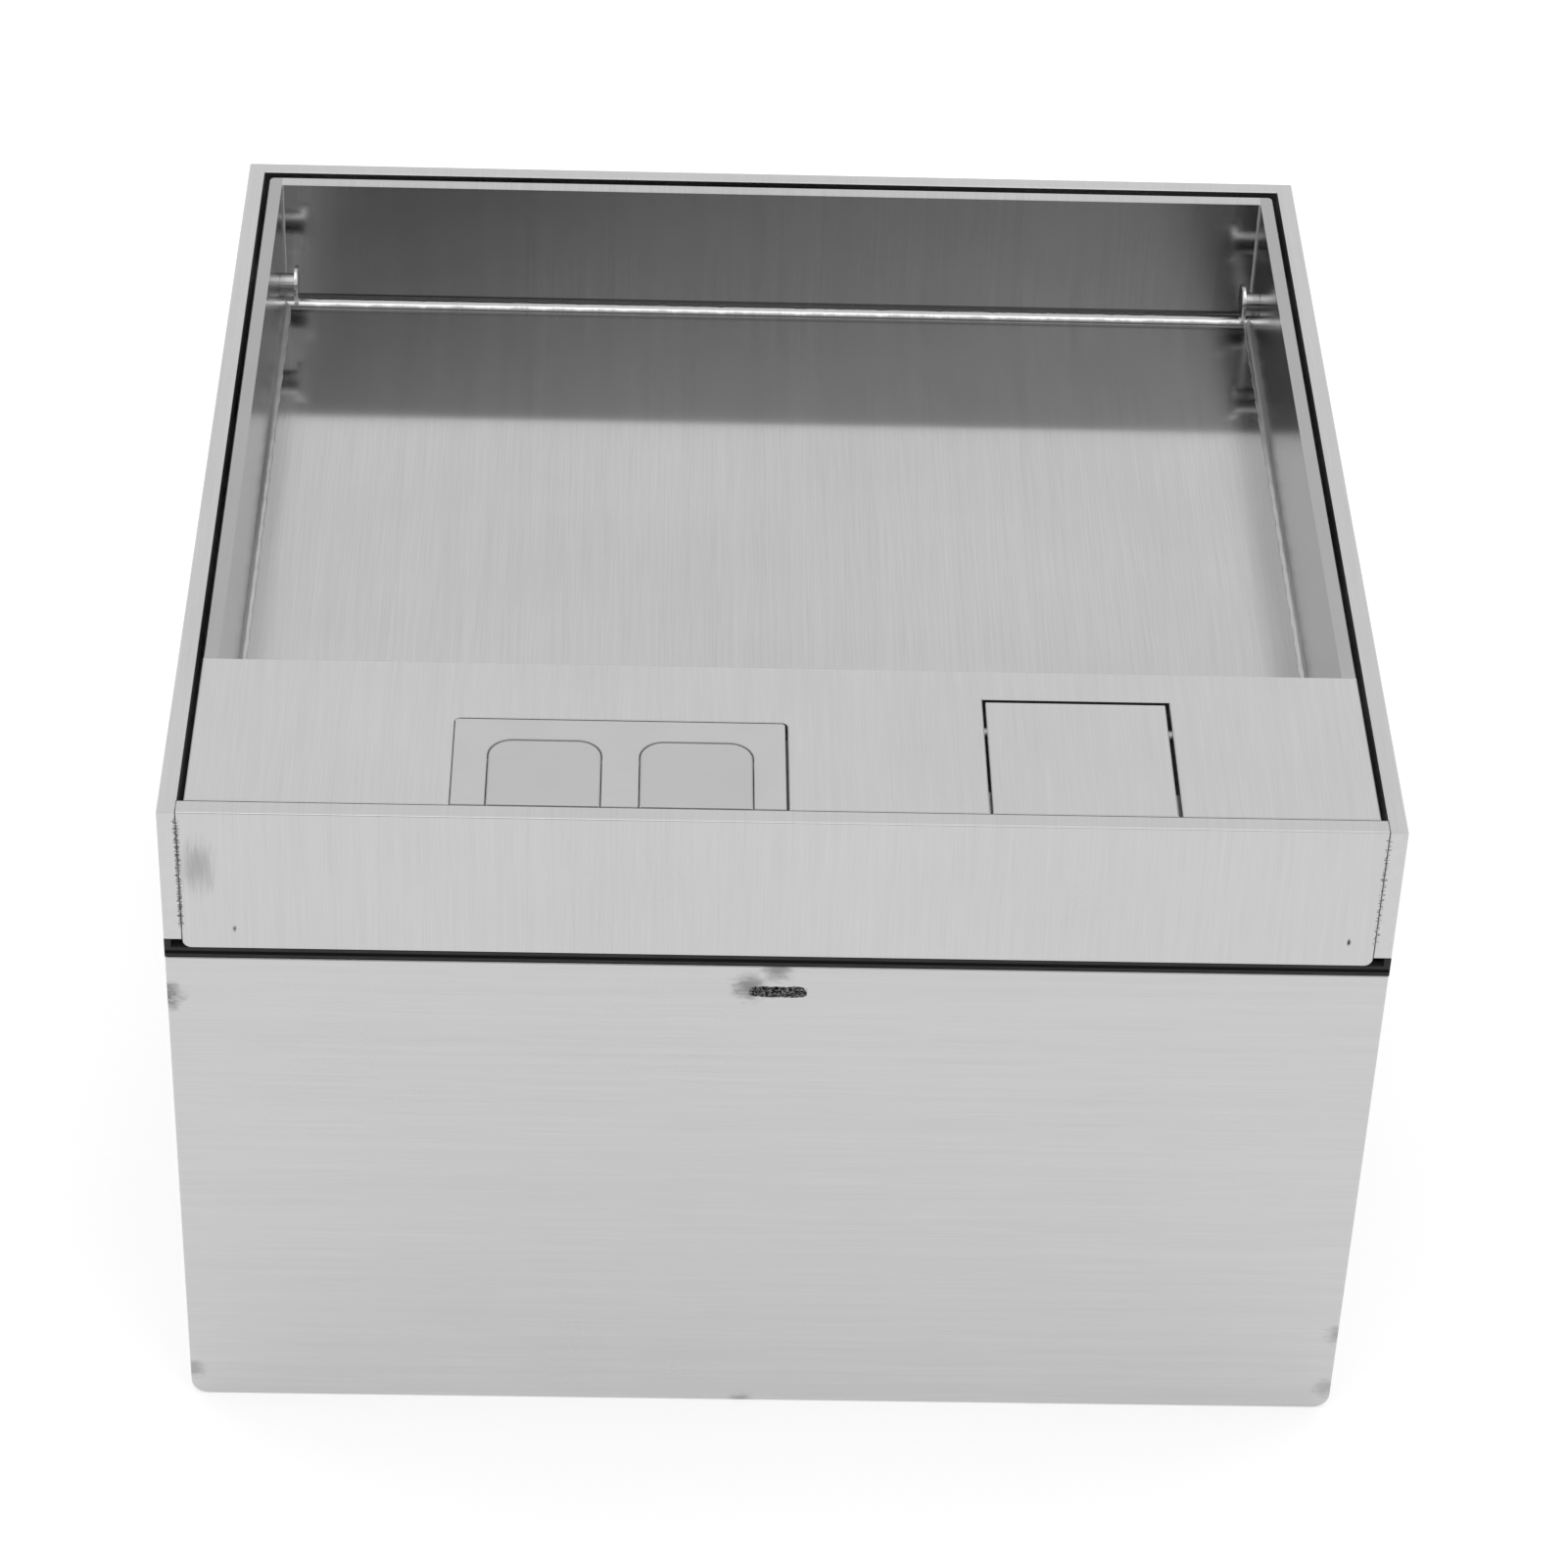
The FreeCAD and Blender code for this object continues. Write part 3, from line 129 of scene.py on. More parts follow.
def noise(tree, vector, scale, detail=2.0, roughness=0.5, distortion=0.0):
    # noise from 0 to 1, mostly between 0.3 and 0.7
    node = tree.nodes.new("ShaderNodeTexNoise")
    node.inputs["Scale"].default_value = scale
    node.inputs["Detail"].default_value = detail
    node.inputs["Roughness"].default_value = roughness
    node.inputs["Distortion"].default_value = distortion
    tree.links.new(vector, node.inputs["Vector"])
    return node.outputs["Fac"]


waverSetup = {"noise": (1.0, 3.0, 0.6), "middle": 0.5}      # scale, detail, roughness


def makeWaver(tree, place, scales, setup):
    # noise about zero, with its own scale along each axis
    waver = noise(tree, vectorMath(tree, "MULTIPLY", place, scales), *setup["noise"])
    return addMath(tree, "SUBTRACT", waver, setup["middle"])


def mixColour(tree, factor, a, b):
    # colour that goes from a to b as the factor goes from 0 to 1; a and b are sockets or three numbers
    node = tree.nodes.new("ShaderNodeMix")
    node.data_type = "RGBA"
    tree.links.new(factor, node.inputs["Factor"])
    for label, colour in (("A", a), ("B", b)):
        if isinstance(colour, tuple):
            node.inputs[label].default_value = (*colour, 1)
        else:
            tree.links.new(colour, node.inputs[label])
    return node.outputs["Result"]


def addBump(tree, shader, height, look):
    # tilts the normal by the slope of a height
    bump = tree.nodes.new("ShaderNodeBump")
    bump.inputs["Strength"].default_value = look["bump"]
    bump.inputs["Distance"].default_value = look["bumpDepth"]
    tree.links.new(height, bump.inputs["Height"])
    tree.links.new(bump.outputs["Normal"], shader.inputs["Normal"])


def newGroup(name, vectors, numbers):
    # empty node group that takes vectors and puts out numbers
    group = bpy.data.node_groups.new(name, "ShaderNodeTree")
    for label in vectors:
        group.interface.new_socket(label, in_out="INPUT", socket_type="NodeSocketVector")
    for label in numbers:
        group.interface.new_socket(label, in_out="OUTPUT", socket_type="NodeSocketFloat")
    return group, group.nodes.new("NodeGroupInput").outputs, group.nodes.new("NodeGroupOutput").inputs


# light: a white room with a grey stretch behind the viewer and one dark shape in it

lightSetup = {
    "roomTone": 1.0,
    "greyAim": (0.085, -0.974, 0.208), "greyTone": 0.44, "greyInner": 19, "greyOuter": 25,      # degrees
    "shapeAim": (-0.24, -0.85, 0.46), "shapeInner": 12, "shapeOuter": 17, "shapeTone": 0.0,     # degrees
    "shapeEdge": (0.690, 0.356, 0.630), "shapeSoft": 0.012,
    "softboxSize": 1.3,
    "softboxHeight": 1.7,
    "softboxPower": 5.5,
}


def makeRoom(setup):
    # radiance by direction: room tone, grey inside a cone, darker in a smaller cone on one side of a plane
    world = bpy.data.worlds.new("room")
    bpy.context.scene.world = world
    world.use_nodes = True
    tree = world.node_tree
    tree.nodes.clear()
    way = tree.nodes.new("ShaderNodeTexCoord").outputs["Generated"]

    def along(name):
        # cosine of the angle to a named axis
        return vectorMath(tree, "DOT_PRODUCT", way, Vector(setup[name]).normalized())

    cone = {name: [math.cos(math.radians(setup[name + part])) for part in ("Outer", "Inner")]
            for name in ("grey", "shape")}
    grey = addMap(tree, along("greyAim"), *cone["grey"], setup["roomTone"], setup["greyTone"])
    near = addMap(tree, along("shapeAim"), *cone["shape"], 0.0, 1.0)
    side = addMap(tree, along("shapeEdge"), -setup["shapeSoft"], setup["shapeSoft"], 1.0, 0.0)
    keep = addMap(tree, times(tree, near, side), 0.0, 1.0, 1.0, setup["shapeTone"] / setup["greyTone"])
    background = tree.nodes.new("ShaderNodeBackground")
    tree.links.new(times(tree, grey, keep), background.inputs["Color"])
    out = tree.nodes.new("ShaderNodeOutputWorld")
    tree.links.new(background.outputs["Background"], out.inputs["Surface"])


def makeSoftbox(setup):
    # square lamp above the box, facing down
    data = bpy.data.lights.new("softbox", "AREA")
    data.shape = "SQUARE"
    data.size = setup["softboxSize"]
    data.energy = setup["softboxPower"]
    lamp = bpy.data.objects.new("softbox", data)
    lamp.location = (0, 0, setup["softboxHeight"])
    bpy.context.scene.collection.objects.link(lamp)


makeRoom(lightSetup)
makeSoftbox(lightSetup)
bpy.context.scene.view_settings.view_transform = "Standard"
print("camera and light")


# ground metal

grainSetup = {
    "fine": (1.0, 3.0, 0.65), "broad": (0.16, 2.0, 0.5),        # noise scale, detail, roughness
    "scratch": (0.45, 1.0, 0.4), "cloud": (26.0, 3.0, 0.55),
    "fineShare": 0.7, "broadShare": 0.3,
    "scratchRange": (0.70, 0.76), "scratchDepth": 0.25,
    "glossRange": (0.25, 0.75),
}


def makeGrainGroup(setup):
    # fine and broad lines from noise on stretched coordinates, less a few deeper scratches
    group, into, out = newGroup("groundGrain", ["Vector", "Place"], ["Height", "Tone", "Cloud"])
    fine, broad, deep = (noise(group, into["Vector"], *setup[name])
                         for name in ("fine", "broad", "scratch"))
    lines = addMath(group, "ADD", times(group, fine, setup["fineShare"]),
                    times(group, broad, setup["broadShare"]))
    scratch = addMap(group, deep, *setup["scratchRange"], 0.0, 1.0)
    height = addMath(group, "SUBTRACT", lines, times(group, scratch, setup["scratchDepth"]))
    group.links.new(height, out["Height"])
    group.links.new(lines, out["Tone"])
    group.links.new(noise(group, into["Place"], *setup["cloud"]), out["Cloud"])
    return group


grainGroup = makeGrainGroup(grainSetup)


# stains and welds on flat sheets, in mm from the origin of the part; flat weighs the axes of a distance

markSets = {
    "panelMarks": {
        "flat": (1, 0, 1), "streak": (500, 500, 900),
        "stains": [                             # middle, radius, depth
            ((-100.8, 0, 91.8), 4.4, 0.74), ((-99.5, 0, 6), 3.0, 0.34), ((100, 0, 18), 3.0, 0.36),
            ((99, 0, 5), 3.0, 0.30), ((-4, 0, -0.6), 3.2, 0.42), ((-4.6, 0, 95.4), 4.0, 0.60),
            ((-0.2, 0, 99.2), 3.4, 0.55)],
        "bar": ((0, 94.5), 3.5, 1.15)},         # middle across and up, half length, radius
    "sideMarks": {
        "flat": (0, 1, 1), "streak": (500, 500, 900),
        "stains": [
            ((0, 30, 92), 4.0, 0.22), ((0, -30, 92), 4.0, 0.22), ((0, 99, 8), 3.2, 0.30),
            ((0, -99, 9), 3.2, 0.30), ((0, 99, 90), 3.4, 0.30), ((0, -99, 91), 3.4, 0.30),
            ((0, 6, -0.5), 3.0, 0.30)]},
    "plateMarks": {
        "flat": (2, 0, 1), "streak": (2200, 2200, 160),
        "stains": [
            ((-88.4, 0, 106.2), 0.9, 0.85), ((92.7, 0, 107), 0.95, 1.0), ((-93.9, 0, 119), 7.5, 0.34)]},
}
markShape = {
    "stainWaver": 1.2, "stainCore": 0.1,        # shares of a stain's radius
    "barWaver": 1.1, "barSoft": 0.1,            # mm
}


def makeMarksGroup(name, marks, shape):
    # each stain fades out from its middle with a wavering edge; the bar is a weld with round ends
    group, into, out = newGroup(name, ["Vector"], ["Stain", "Weld"] if "bar" in marks else ["Stain"])
    place = into["Vector"]
    flat = vectorMath(group, "MULTIPLY", place, marks["flat"])
    waver = makeWaver(group, place, marks["streak"], waverSetup)
    darkening = None
    for middle, radius, depth in marks["stains"]:
        spotMiddle = [part * weight * mm for part, weight in zip(middle, marks["flat"])]
        gap = vectorMath(group, "DISTANCE", flat, spotMiddle)
        gap = addMath(group, "ADD", gap, times(group, waver, radius * shape["stainWaver"] * mm))
        spot = addRamp(group, gap, (radius * shape["stainCore"], radius), depth, 0.0)
        darkening = spot if darkening is None else addMath(group, "MAXIMUM", darkening, spot)
    group.links.new(darkening, out["Stain"])
    if "bar" in marks:
        (across, up), half, radius = marks["bar"]
        x, _, z = splitAxes(group, place)
        over = addMath(group, "SUBTRACT", awayFrom(group, x, across * mm), half * mm)
        over = addMath(group, "MAXIMUM", over, 0.0)
        rise = awayFrom(group, z, up * mm)
        squares = addMath(group, "ADD", times(group, over, over), times(group, rise, rise))
        gap = addMath(group, "SQRT", squares)
        gap = addMath(group, "ADD", gap, times(group, waver, shape["barWaver"] * mm))
        soft = (radius - shape["barSoft"], radius + shape["barSoft"])
        group.links.new(addRamp(group, gap, soft, 1.0, 0.0), out["Weld"])
    return group


# butt joint between the front plate and the side bars

seamSetup = {
    "across": 97, "foot": (105.5, 108), "head": (128.4, 129.2), "front": (-99.9, -99.7),        # mm
    "tooth": (700, 0, 2600), "edge": (0, 0, 1900), "noise": (1.0, 2.0, 0.6), "edgeRange": (0.3, 0.7),
    "halfWidth": (0.10, 0.62), "soft": 0.08,        # mm
    "ripple": (0.47, 0.60), "depth": 0.80,
    "leftRange": (-1, 1), "leftMore": 0.08,         # the left joint is more closed
    "hair": (0.05, 0.16), "hairDepth": 0.75, "hairBack": (-97.0, -96.8),        # mm, the line on top
}


def makeSeamGroup(setup):
    # cross ripples in a narrow upright strip of wavering width, and a thin line on top
    group, into, out = newGroup("jointSeam", ["Vector"], ["Weld"])
    place = into["Vector"]
    x, y, z = splitAxes(group, place)
    reach = awayFrom(group, addMath(group, "ABSOLUTE", x), setup["across"] * mm)
    tooth, edge = (noise(group, vectorMath(group, "MULTIPLY", place, setup[name]), *setup["noise"])
                   for name in ("tooth", "edge"))
    left = addRamp(group, x, setup["leftRange"], setup["leftMore"], 0.0)
    width = addMap(group, edge, *setup["edgeRange"], *(value * mm for value in setup["halfWidth"]))
    inside = addRamp(group, addMath(group, "SUBTRACT", reach, width), (-setup["soft"], setup["soft"]),
                     1.0, 0.0)
    ripple = addMap(group, addMath(group, "ADD", tooth, left), *setup["ripple"], 0.0, setup["depth"])
    face = times(group, inside, ripple, addRamp(group, z, setup["foot"], 0.0, 1.0),
                 addRamp(group, z, setup["head"], 1.0, 0.0), addRamp(group, y, setup["front"], 1.0, 0.0))
    hair = times(group, addRamp(group, reach, setup["hair"], setup["hairDepth"], 0.0),
                 addRamp(group, y, setup["hairBack"], 1.0, 0.0))
    group.links.new(addMath(group, "MAXIMUM", face, hair), out["Weld"])
    return group


# fold at the foot of the tray's rear wall, with painted shade that narrows its bright reflection

foldShadeSetup = {
    "floor": 103.6, "wall": 92.5, "bend": 2.0,                  # mm: tray floor, rear wall, fold radius
    "stretch": (260, 0, 0), "waver": 0.9,
    "edge": 104.75, "line": (0.06, 0.22), "lineDepth": 0.85,    # mm: the dark line and its half width
    "aboveFrom": -0.15, "aboveTo": 0.1, "aboveDepth": 0.66,
    "belowFrom": 0.1, "belowTo": 0.4, "belowDepth": 0.52,
    "fade": 0.3,
}


def makeFoldShadeGroup(setup):
    # painted shade: a dark wavering line, and the fold darkened above it and next to the floor, so that its
    # reflection shows as a narrow band
    group, into, out = newGroup("foldShade", ["Vector"], ["Stain"])
    place = into["Vector"]
    _, y, z = splitAxes(group, place)
    waver = makeWaver(group, place, setup["stretch"], waverSetup)
    rise = addMath(group, "ADD", z, times(group, waver, setup["waver"] * mm))
    line = addRamp(group, awayFrom(group, rise, setup["edge"] * mm), setup["line"], setup["lineDepth"], 0.0)
    above = (setup["edge"] + setup["aboveFrom"], setup["edge"] + setup["aboveTo"])
    below = (setup["floor"] + setup["belowFrom"], setup["floor"] + setup["belowTo"])
    top = setup["floor"] + setup["bend"]
    start = setup["wall"] - setup["bend"]
    shadeAbove = times(group, addRamp(group, rise, above, 0.0, setup["aboveDepth"]),
                 addRamp(group, z, (top, top + setup["fade"]), 1.0, 0.0))
    low = addRamp(group, rise, below, setup["belowDepth"], 0.0)
    back = addRamp(group, y, (start, start + setup["fade"]), 0.0, 1.0)
    most = addMath(group, "MAXIMUM", addMath(group, "MAXIMUM", line, shadeAbove), low)
    group.links.new(times(group, most, back), out["Stain"])
    return group


# neck of the hinge pins, between head and wall: painted shade

neckShadeSetup = {"axis": (0, 81.2, 114.6), "radius": 2.9, "soft": 0.4, "depth": 0.40}       # mm, and how dark


def makeNeckShadeGroup(setup):
    # painted shade: darker round the hinge line than at the rim of the head
    group, into, out = newGroup("neckShade", ["Vector"], ["Stain"])
    flat = vectorMath(group, "MULTIPLY", into["Vector"], (0, 1, 1))
    gap = vectorMath(group, "DISTANCE", flat, [value * mm for value in setup["axis"]])
    limits = (setup["radius"] - setup["soft"], setup["radius"])
    group.links.new(addRamp(group, gap, limits, setup["depth"], 0.0), out["Stain"])
    return group


# recess in the heads of the strap screws, painted as shade

crossShadeSetup = {
    "across": 45, "up": 92,                     # mm: places of the screws
    "arm": 1.5, "armSoft": 0.1, "half": 0.32, "halfSoft": 0.05,
    "depth": 0.92,
}


def makeCrossShadeGroup(setup):
    # painted shade of the recess: near either arm's middle line, and not far from the screw's middle
    group, into, out = newGroup("crossShade", ["Vector"], ["Stain"])
    _, y, z = splitAxes(group, into["Vector"])
    side = awayFrom(group, addMath(group, "ABSOLUTE", y), setup["across"] * mm)
    rise = awayFrom(group, z, setup["up"] * mm)
    thin, near = (addRamp(group, addMath(group, operation, side, rise),
                          (setup[size] - setup[soft], setup[size] + setup[soft]), 1.0, 0.0)
                  for operation, size, soft in (("MINIMUM", "half", "halfSoft"),
                                                ("MAXIMUM", "arm", "armSoft")))
    group.links.new(times(group, thin, near, setup["depth"]), out["Stain"])
    return group


# thread of the studs, painted as shade in its grooves

threadShadeSetup = {"pitch": 0.8, "groove": (-0.6, 0.8), "depth": 0.62}      # mm; range of the sine; how dark


def makeThreadShadeGroup(setup):
    # painted shade in the grooves: rings one pitch apart along the stud, from a sine of the height
    group, into, out = newGroup("threadShade", ["Vector"], ["Stain"])
    height = splitAxes(group, into["Vector"])[2]
    wave = addMath(group, "SINE", times(group, height, 2 * np.pi / (setup["pitch"] * mm)))
    group.links.new(addMap(group, wave, *setup["groove"], 0.0, setup["depth"]), out["Stain"])
    return group


markGroups = {name: makeMarksGroup(name, marks, markShape) for name, marks in markSets.items()}
markGroups["jointSeam"] = makeSeamGroup(seamSetup)
markGroups["foldShade"] = makeFoldShadeGroup(foldShadeSetup)
markGroups["neckShade"] = makeNeckShadeGroup(neckShadeSetup)
markGroups["crossShade"] = makeCrossShadeGroup(crossShadeSetup)
markGroups["threadShade"] = makeThreadShadeGroup(threadShadeSetup)


# metal

def grey(value):
    # equal red, green and blue
    return value, value, value


weldSetup = {
    # the first colour is what both real stains and painted shade darken towards
    "darkening": (0.05, 0.05, 0.055),
    "crumb": (1900.0, 4.0, 0.7, 0.8),           # noise scale, detail, roughness, distortion
    "crumbRange": (0.42, 0.66), "tone": (0.004, 0.30),
    "roughness": 0.35, "height": 3.0,
}


def applyMarks(tree, shader, names, place, colour, roughness, height, setup):
    # stains, and the painted shade of the fold, pin necks, screw recesses and threads, darken the colour;
    # welds are dark, rough and raised
    for name in names:
        node = tree.nodes.new("ShaderNodeGroup")
        node.node_tree = markGroups[name]
        tree.links.new(place, node.inputs["Vector"])
        if "Stain" in node.outputs:
            colour = mixColour(tree, node.outputs["Stain"], colour, setup["darkening"])
        if "Weld" in node.outputs:
            weld = node.outputs["Weld"]
            crumb = noise(tree, place, *setup["crumb"])
            tone = addMap(tree, crumb, *setup["crumbRange"], *setup["tone"])
            colour = mixColour(tree, weld, colour, tone)
            roughness = addMath(tree, "ADD", roughness, times(tree, weld, setup["roughness"]))
            height = addMath(tree, "ADD", height, times(tree, crumb, setup["height"], weld))
    tree.links.new(colour, shader.inputs["Base Color"])
    tree.links.new(roughness, shader.inputs["Roughness"])
    return height


def newMaterial(name):
    # material with its tree, its shader and the coordinates of the part
    material = bpy.data.materials.new(name)
    material.use_nodes = True
    tree = material.node_tree
    place = tree.nodes.new("ShaderNodeTexCoord").outputs["Object"]
    return material, tree, tree.nodes["Principled BSDF"], place


def makeSteel(name, look):
    # metal with lines that run along look["grain"]; the gloss spreads across the lines
    material, tree, shader, place = newMaterial(name)
    stretch = tree.nodes.new("ShaderNodeMapping")
    stretch.inputs["Scale"].default_value = look["stretch"]
    tree.links.new(place, stretch.inputs["Vector"])
    grain = tree.nodes.new("ShaderNodeGroup")
    grain.node_tree = grainGroup
    tree.links.new(stretch.outputs["Vector"], grain.inputs["Vector"])
    tree.links.new(place, grain.inputs["Place"])
    cloud = grain.outputs["Cloud"]
    tone = addMath(tree, "ADD", times(tree, grain.outputs["Tone"], look["lineTone"]),
                   times(tree, cloud, look["cloudTone"]))
    shader.inputs["Metallic"].default_value = 1.0
    colour = mixColour(tree, tone, look["dark"], look["light"])
    roughness = addMap(tree, cloud, *grainSetup["glossRange"], *look["roughness"])
    height = applyMarks(tree, shader, look.get("marks", ()), place, colour, roughness,
                        grain.outputs["Height"], weldSetup)
    if "anisotropy" in look:
        shader.inputs["Anisotropic"].default_value = look["anisotropy"]
        normal = tree.nodes.new("ShaderNodeNewGeometry").outputs["Normal"]
        across = vectorMath(tree, "CROSS_PRODUCT", normal, look["grain"])
        tree.links.new(across, shader.inputs["Tangent"])
    addBump(tree, shader, height, look)
    return material


sheetLook = {
    "dark": grey(0.43), "light": grey(0.67), "lineTone": 0.7, "cloudTone": 0.3, "roughness": (0.26, 0.36),
    "anisotropy": 0.6, "bump": 0.25, "bumpDepth": 0.00004}
zincLook = {
    "stretch": (900, 2200, 2200), "dark": (0.60, 0.61, 0.62), "light": (0.82, 0.83, 0.84), "lineTone": 0.4,
    "cloudTone": 0.5, "roughness": (0.14, 0.26), "bump": 0.12, "bumpDepth": 0.00003}
brassLook = {
    "stretch": (300, 300, 3600), "dark": (0.55, 0.38, 0.14), "light": (0.84, 0.66, 0.32), "lineTone": 0.6,
    "cloudTone": 0.4, "roughness": (0.18, 0.30), "bump": 0.2, "bumpDepth": 0.00003}
steelLooks = {
    "boxSteel": {**sheetLook, "grain": (1, 0, 0), "stretch": (45, 4200, 4200)},
    "panelSteel": {**sheetLook, "grain": (1, 0, 0), "stretch": (45, 4200, 4200), "marks": ("panelMarks",)},
    "wrapSteel": {**sheetLook, "grain": (0, 1, 0), "stretch": (4200, 45, 4200), "marks": ("sideMarks",)},
    "frameSteel": {
        **sheetLook, "grain": (0, 0.7, 0.7), "stretch": (4200, 60, 60), "dark": grey(0.42),
        "light": grey(0.65), "bump": 0.3, "marks": ("plateMarks", "jointSeam")},
    "barSteel": {
        **sheetLook, "grain": (0, 1, 0.02), "stretch": (4200, 60, 4200), "dark": grey(0.42), "bump": 0.3,
        "marks": ("jointSeam",)},
    "stripSteel": {
        **sheetLook, "grain": (0, 0.7, 0.7), "stretch": (4200, 60, 60), "dark": grey(0.44),
        "light": grey(0.66), "roughness": (0.28, 0.38), "bump": 0.3},
    "traySteel": {
        "grain": (0, 0.7, 0.7), "stretch": (2600, 40, 40), "dark": grey(0.40), "light": grey(0.67),
        "lineTone": 0.58, "cloudTone": 0.26, "roughness": (0.12, 0.15), "anisotropy": 0.88, "bump": 0.05,
        "bumpDepth": 0.00003, "marks": ("foldShade",)},
    # painted shade: the tray's side walls are coloured darker than its floor and rear wall of the same
    # steel
    "traySideShadedSteel": {
        "grain": (0, 1, 0.02), "stretch": (2600, 26, 2600), "dark": grey(0.34), "light": grey(0.48),
        "lineTone": 0.4, "cloudTone": 0.45, "roughness": (0.16, 0.20), "anisotropy": 0.6, "bump": 0.05,
        "bumpDepth": 0.00003},
    "seamSteel": {
        "stretch": (700, 160, 700), "dark": grey(0.38), "light": grey(0.60), "lineTone": 0.6,
        "cloudTone": 0.4, "roughness": (0.30, 0.40), "bump": 0.25, "bumpDepth": 0.00008},
    "tackSteel": {
        "stretch": (900, 900, 900), "dark": grey(0.12), "light": (0.42, 0.41, 0.40), "lineTone": 0.7,
        "cloudTone": 0.4, "roughness": (0.30, 0.48), "bump": 0.6, "bumpDepth": 0.00012},
    "pinSteel": {
        "stretch": (2200, 700, 700), "dark": grey(0.42), "light": grey(0.62), "lineTone": 0.5,
        "cloudTone": 0.4, "roughness": (0.16, 0.24), "bump": 0.25, "bumpDepth": 0.00005,
        "marks": ("neckShade",)},
    "platedSteel": {
        "stretch": (300, 300, 300), "dark": (0.55, 0.56, 0.57), "light": (0.74, 0.75, 0.76),
        "lineTone": 0.4, "cloudTone": 0.5, "roughness": (0.26, 0.40), "bump": 0.15, "bumpDepth": 0.00004},
    "nickelSpring": {
        "stretch": (2200, 2200, 200), "dark": (0.66, 0.65, 0.62), "light": (0.84, 0.83, 0.80),
        "lineTone": 0.5, "cloudTone": 0.4, "roughness": (0.12, 0.22), "bump": 0.10, "bumpDepth": 0.00002},
    "brightZinc": zincLook,
    "screwZinc": {**zincLook, "marks": ("crossShade",)},
    "studZinc": {**zincLook, "marks": ("threadShade",)},
    "turnedBrass": brassLook,
    "studBrass": {**brassLook, "marks": ("threadShade",)},
}
steels = {name: makeSteel(name, look) for name, look in steelLooks.items()}


# plastic, rubber and floor paint

skinSetup = {
    "skin": (2.0, 0.6), "cloud": (3.0, 0.55), "speck": (1.0, 0.5),      # noise detail, roughness
    "cloudRange": (0.3, 0.7), "cloudLow": 0.35, "speckRange": (0.74, 0.79),
    "bandCore": 0.3, "shadeColour": grey(0.0015),
}


def makeMoulded(name, look, setup):
    # fine skin from noise, slow changes of tone and gloss, less a few specks, and near-black level bands of
    # painted shade
    material, tree, shader, place = newMaterial(name)
    skin, cloud, speck = (noise(tree, place, look[kind + "Scale"], *setup[kind])
                          for kind in ("skin", "cloud", "speck"))
    fleck = addMap(tree, speck, *setup["speckRange"], 0.0, 1.0)
    tone = addMath(tree, "SUBTRACT", addMap(tree, cloud, *setup["cloudRange"], setup["cloudLow"], 1.0),
                   times(tree, fleck, look["speckTone"]), True)
    colour = mixColour(tree, tone, look["dark"], look["light"])
    # painted shade: the rubber goes near black in level bands at the given heights
    for middle, half, depth in look.get("shadeBands", ()):       # height and half width in mm, depth
        level = awayFrom(tree, splitAxes(tree, place)[2], middle * mm)
        band = addRamp(tree, level, (half * setup["bandCore"], half), depth, 0.0)
        colour = mixColour(tree, band, colour, setup["shadeColour"])
    tree.links.new(colour, shader.inputs["Base Color"])
    if "specular" in look:
        shader.inputs["Specular IOR Level"].default_value = look["specular"]
    roughness = addMap(tree, cloud, *setup["cloudRange"], *look["roughness"])
    tree.links.new(roughness, shader.inputs["Roughness"])
    addBump(tree, shader, skin, look)
    return material


outletLook = {
    "dark": grey(0.41), "light": grey(0.44), "roughness": (0.42, 0.52), "skinScale": 5200, "cloudScale": 90,
    "speckScale": 700, "speckTone": 0.5, "bump": 0.12, "bumpDepth": 0.00003}
mouldedLooks = {
    "outletGrey": outletLook,
    # painted shade: the flaps, set in the insert, take a slightly darker copy of the outlet grey
    "flapShadedGrey": {**outletLook, "dark": grey(0.39), "light": grey(0.42)},
    "socketWhite": {
        "dark": (0.72, 0.71, 0.69), "light": (0.82, 0.81, 0.79), "roughness": (0.28, 0.40),
        "skinScale": 4200, "cloudScale": 60, "speckScale": 500, "speckTone": 0.2,
        "bump": 0.10, "bumpDepth": 0.00003},
    "jackBlack": {
        "dark": grey(0.018), "light": grey(0.035), "roughness": (0.38, 0.50), "skinScale": 4200,
        "cloudScale": 80, "speckScale": 900, "speckTone": 0.2, "bump": 0.15, "bumpDepth": 0.00003},
    "entryGrey": {
        "dark": grey(0.10), "light": grey(0.15), "roughness": (0.45, 0.58), "skinScale": 3600,
        "cloudScale": 70, "speckScale": 700, "speckTone": 0.4, "bump": 0.2, "bumpDepth": 0.00004},
    "sealRubber": {
        "dark": grey(0.026), "light": grey(0.042), "roughness": (0.62, 0.85), "skinScale": 2400,
        "cloudScale": 160, "speckScale": 900, "speckTone": 0.4, "bump": 0.5, "bumpDepth": 0.00006,
        "specular": 0.06, "shadeBands": ((101.05, 0.55, 0.95), (100.0, 0.3, 0.7))},
    "paleNylon": {
        "dark": (0.60, 0.58, 0.53), "light": (0.74, 0.73, 0.69), "roughness": (0.35, 0.48),
        "skinScale": 3000, "cloudScale": 90, "speckScale": 800, "speckTone": 0.2,
        "bump": 0.15, "bumpDepth": 0.00003},
    "floorPaint": {
        "dark": grey(0.48), "light": grey(0.52), "roughness": (0.75, 0.85), "skinScale": 260,
        "cloudScale": 4, "speckScale": 40, "speckTone": 0.1, "bump": 0.05, "bumpDepth": 0.0002},
}
mouldings = {name: makeMoulded(name, look, skinSetup) for name, look in mouldedLooks.items()}
materials = {**steels, **mouldings}
print("materials:", len(materials))


# finish of each carried node

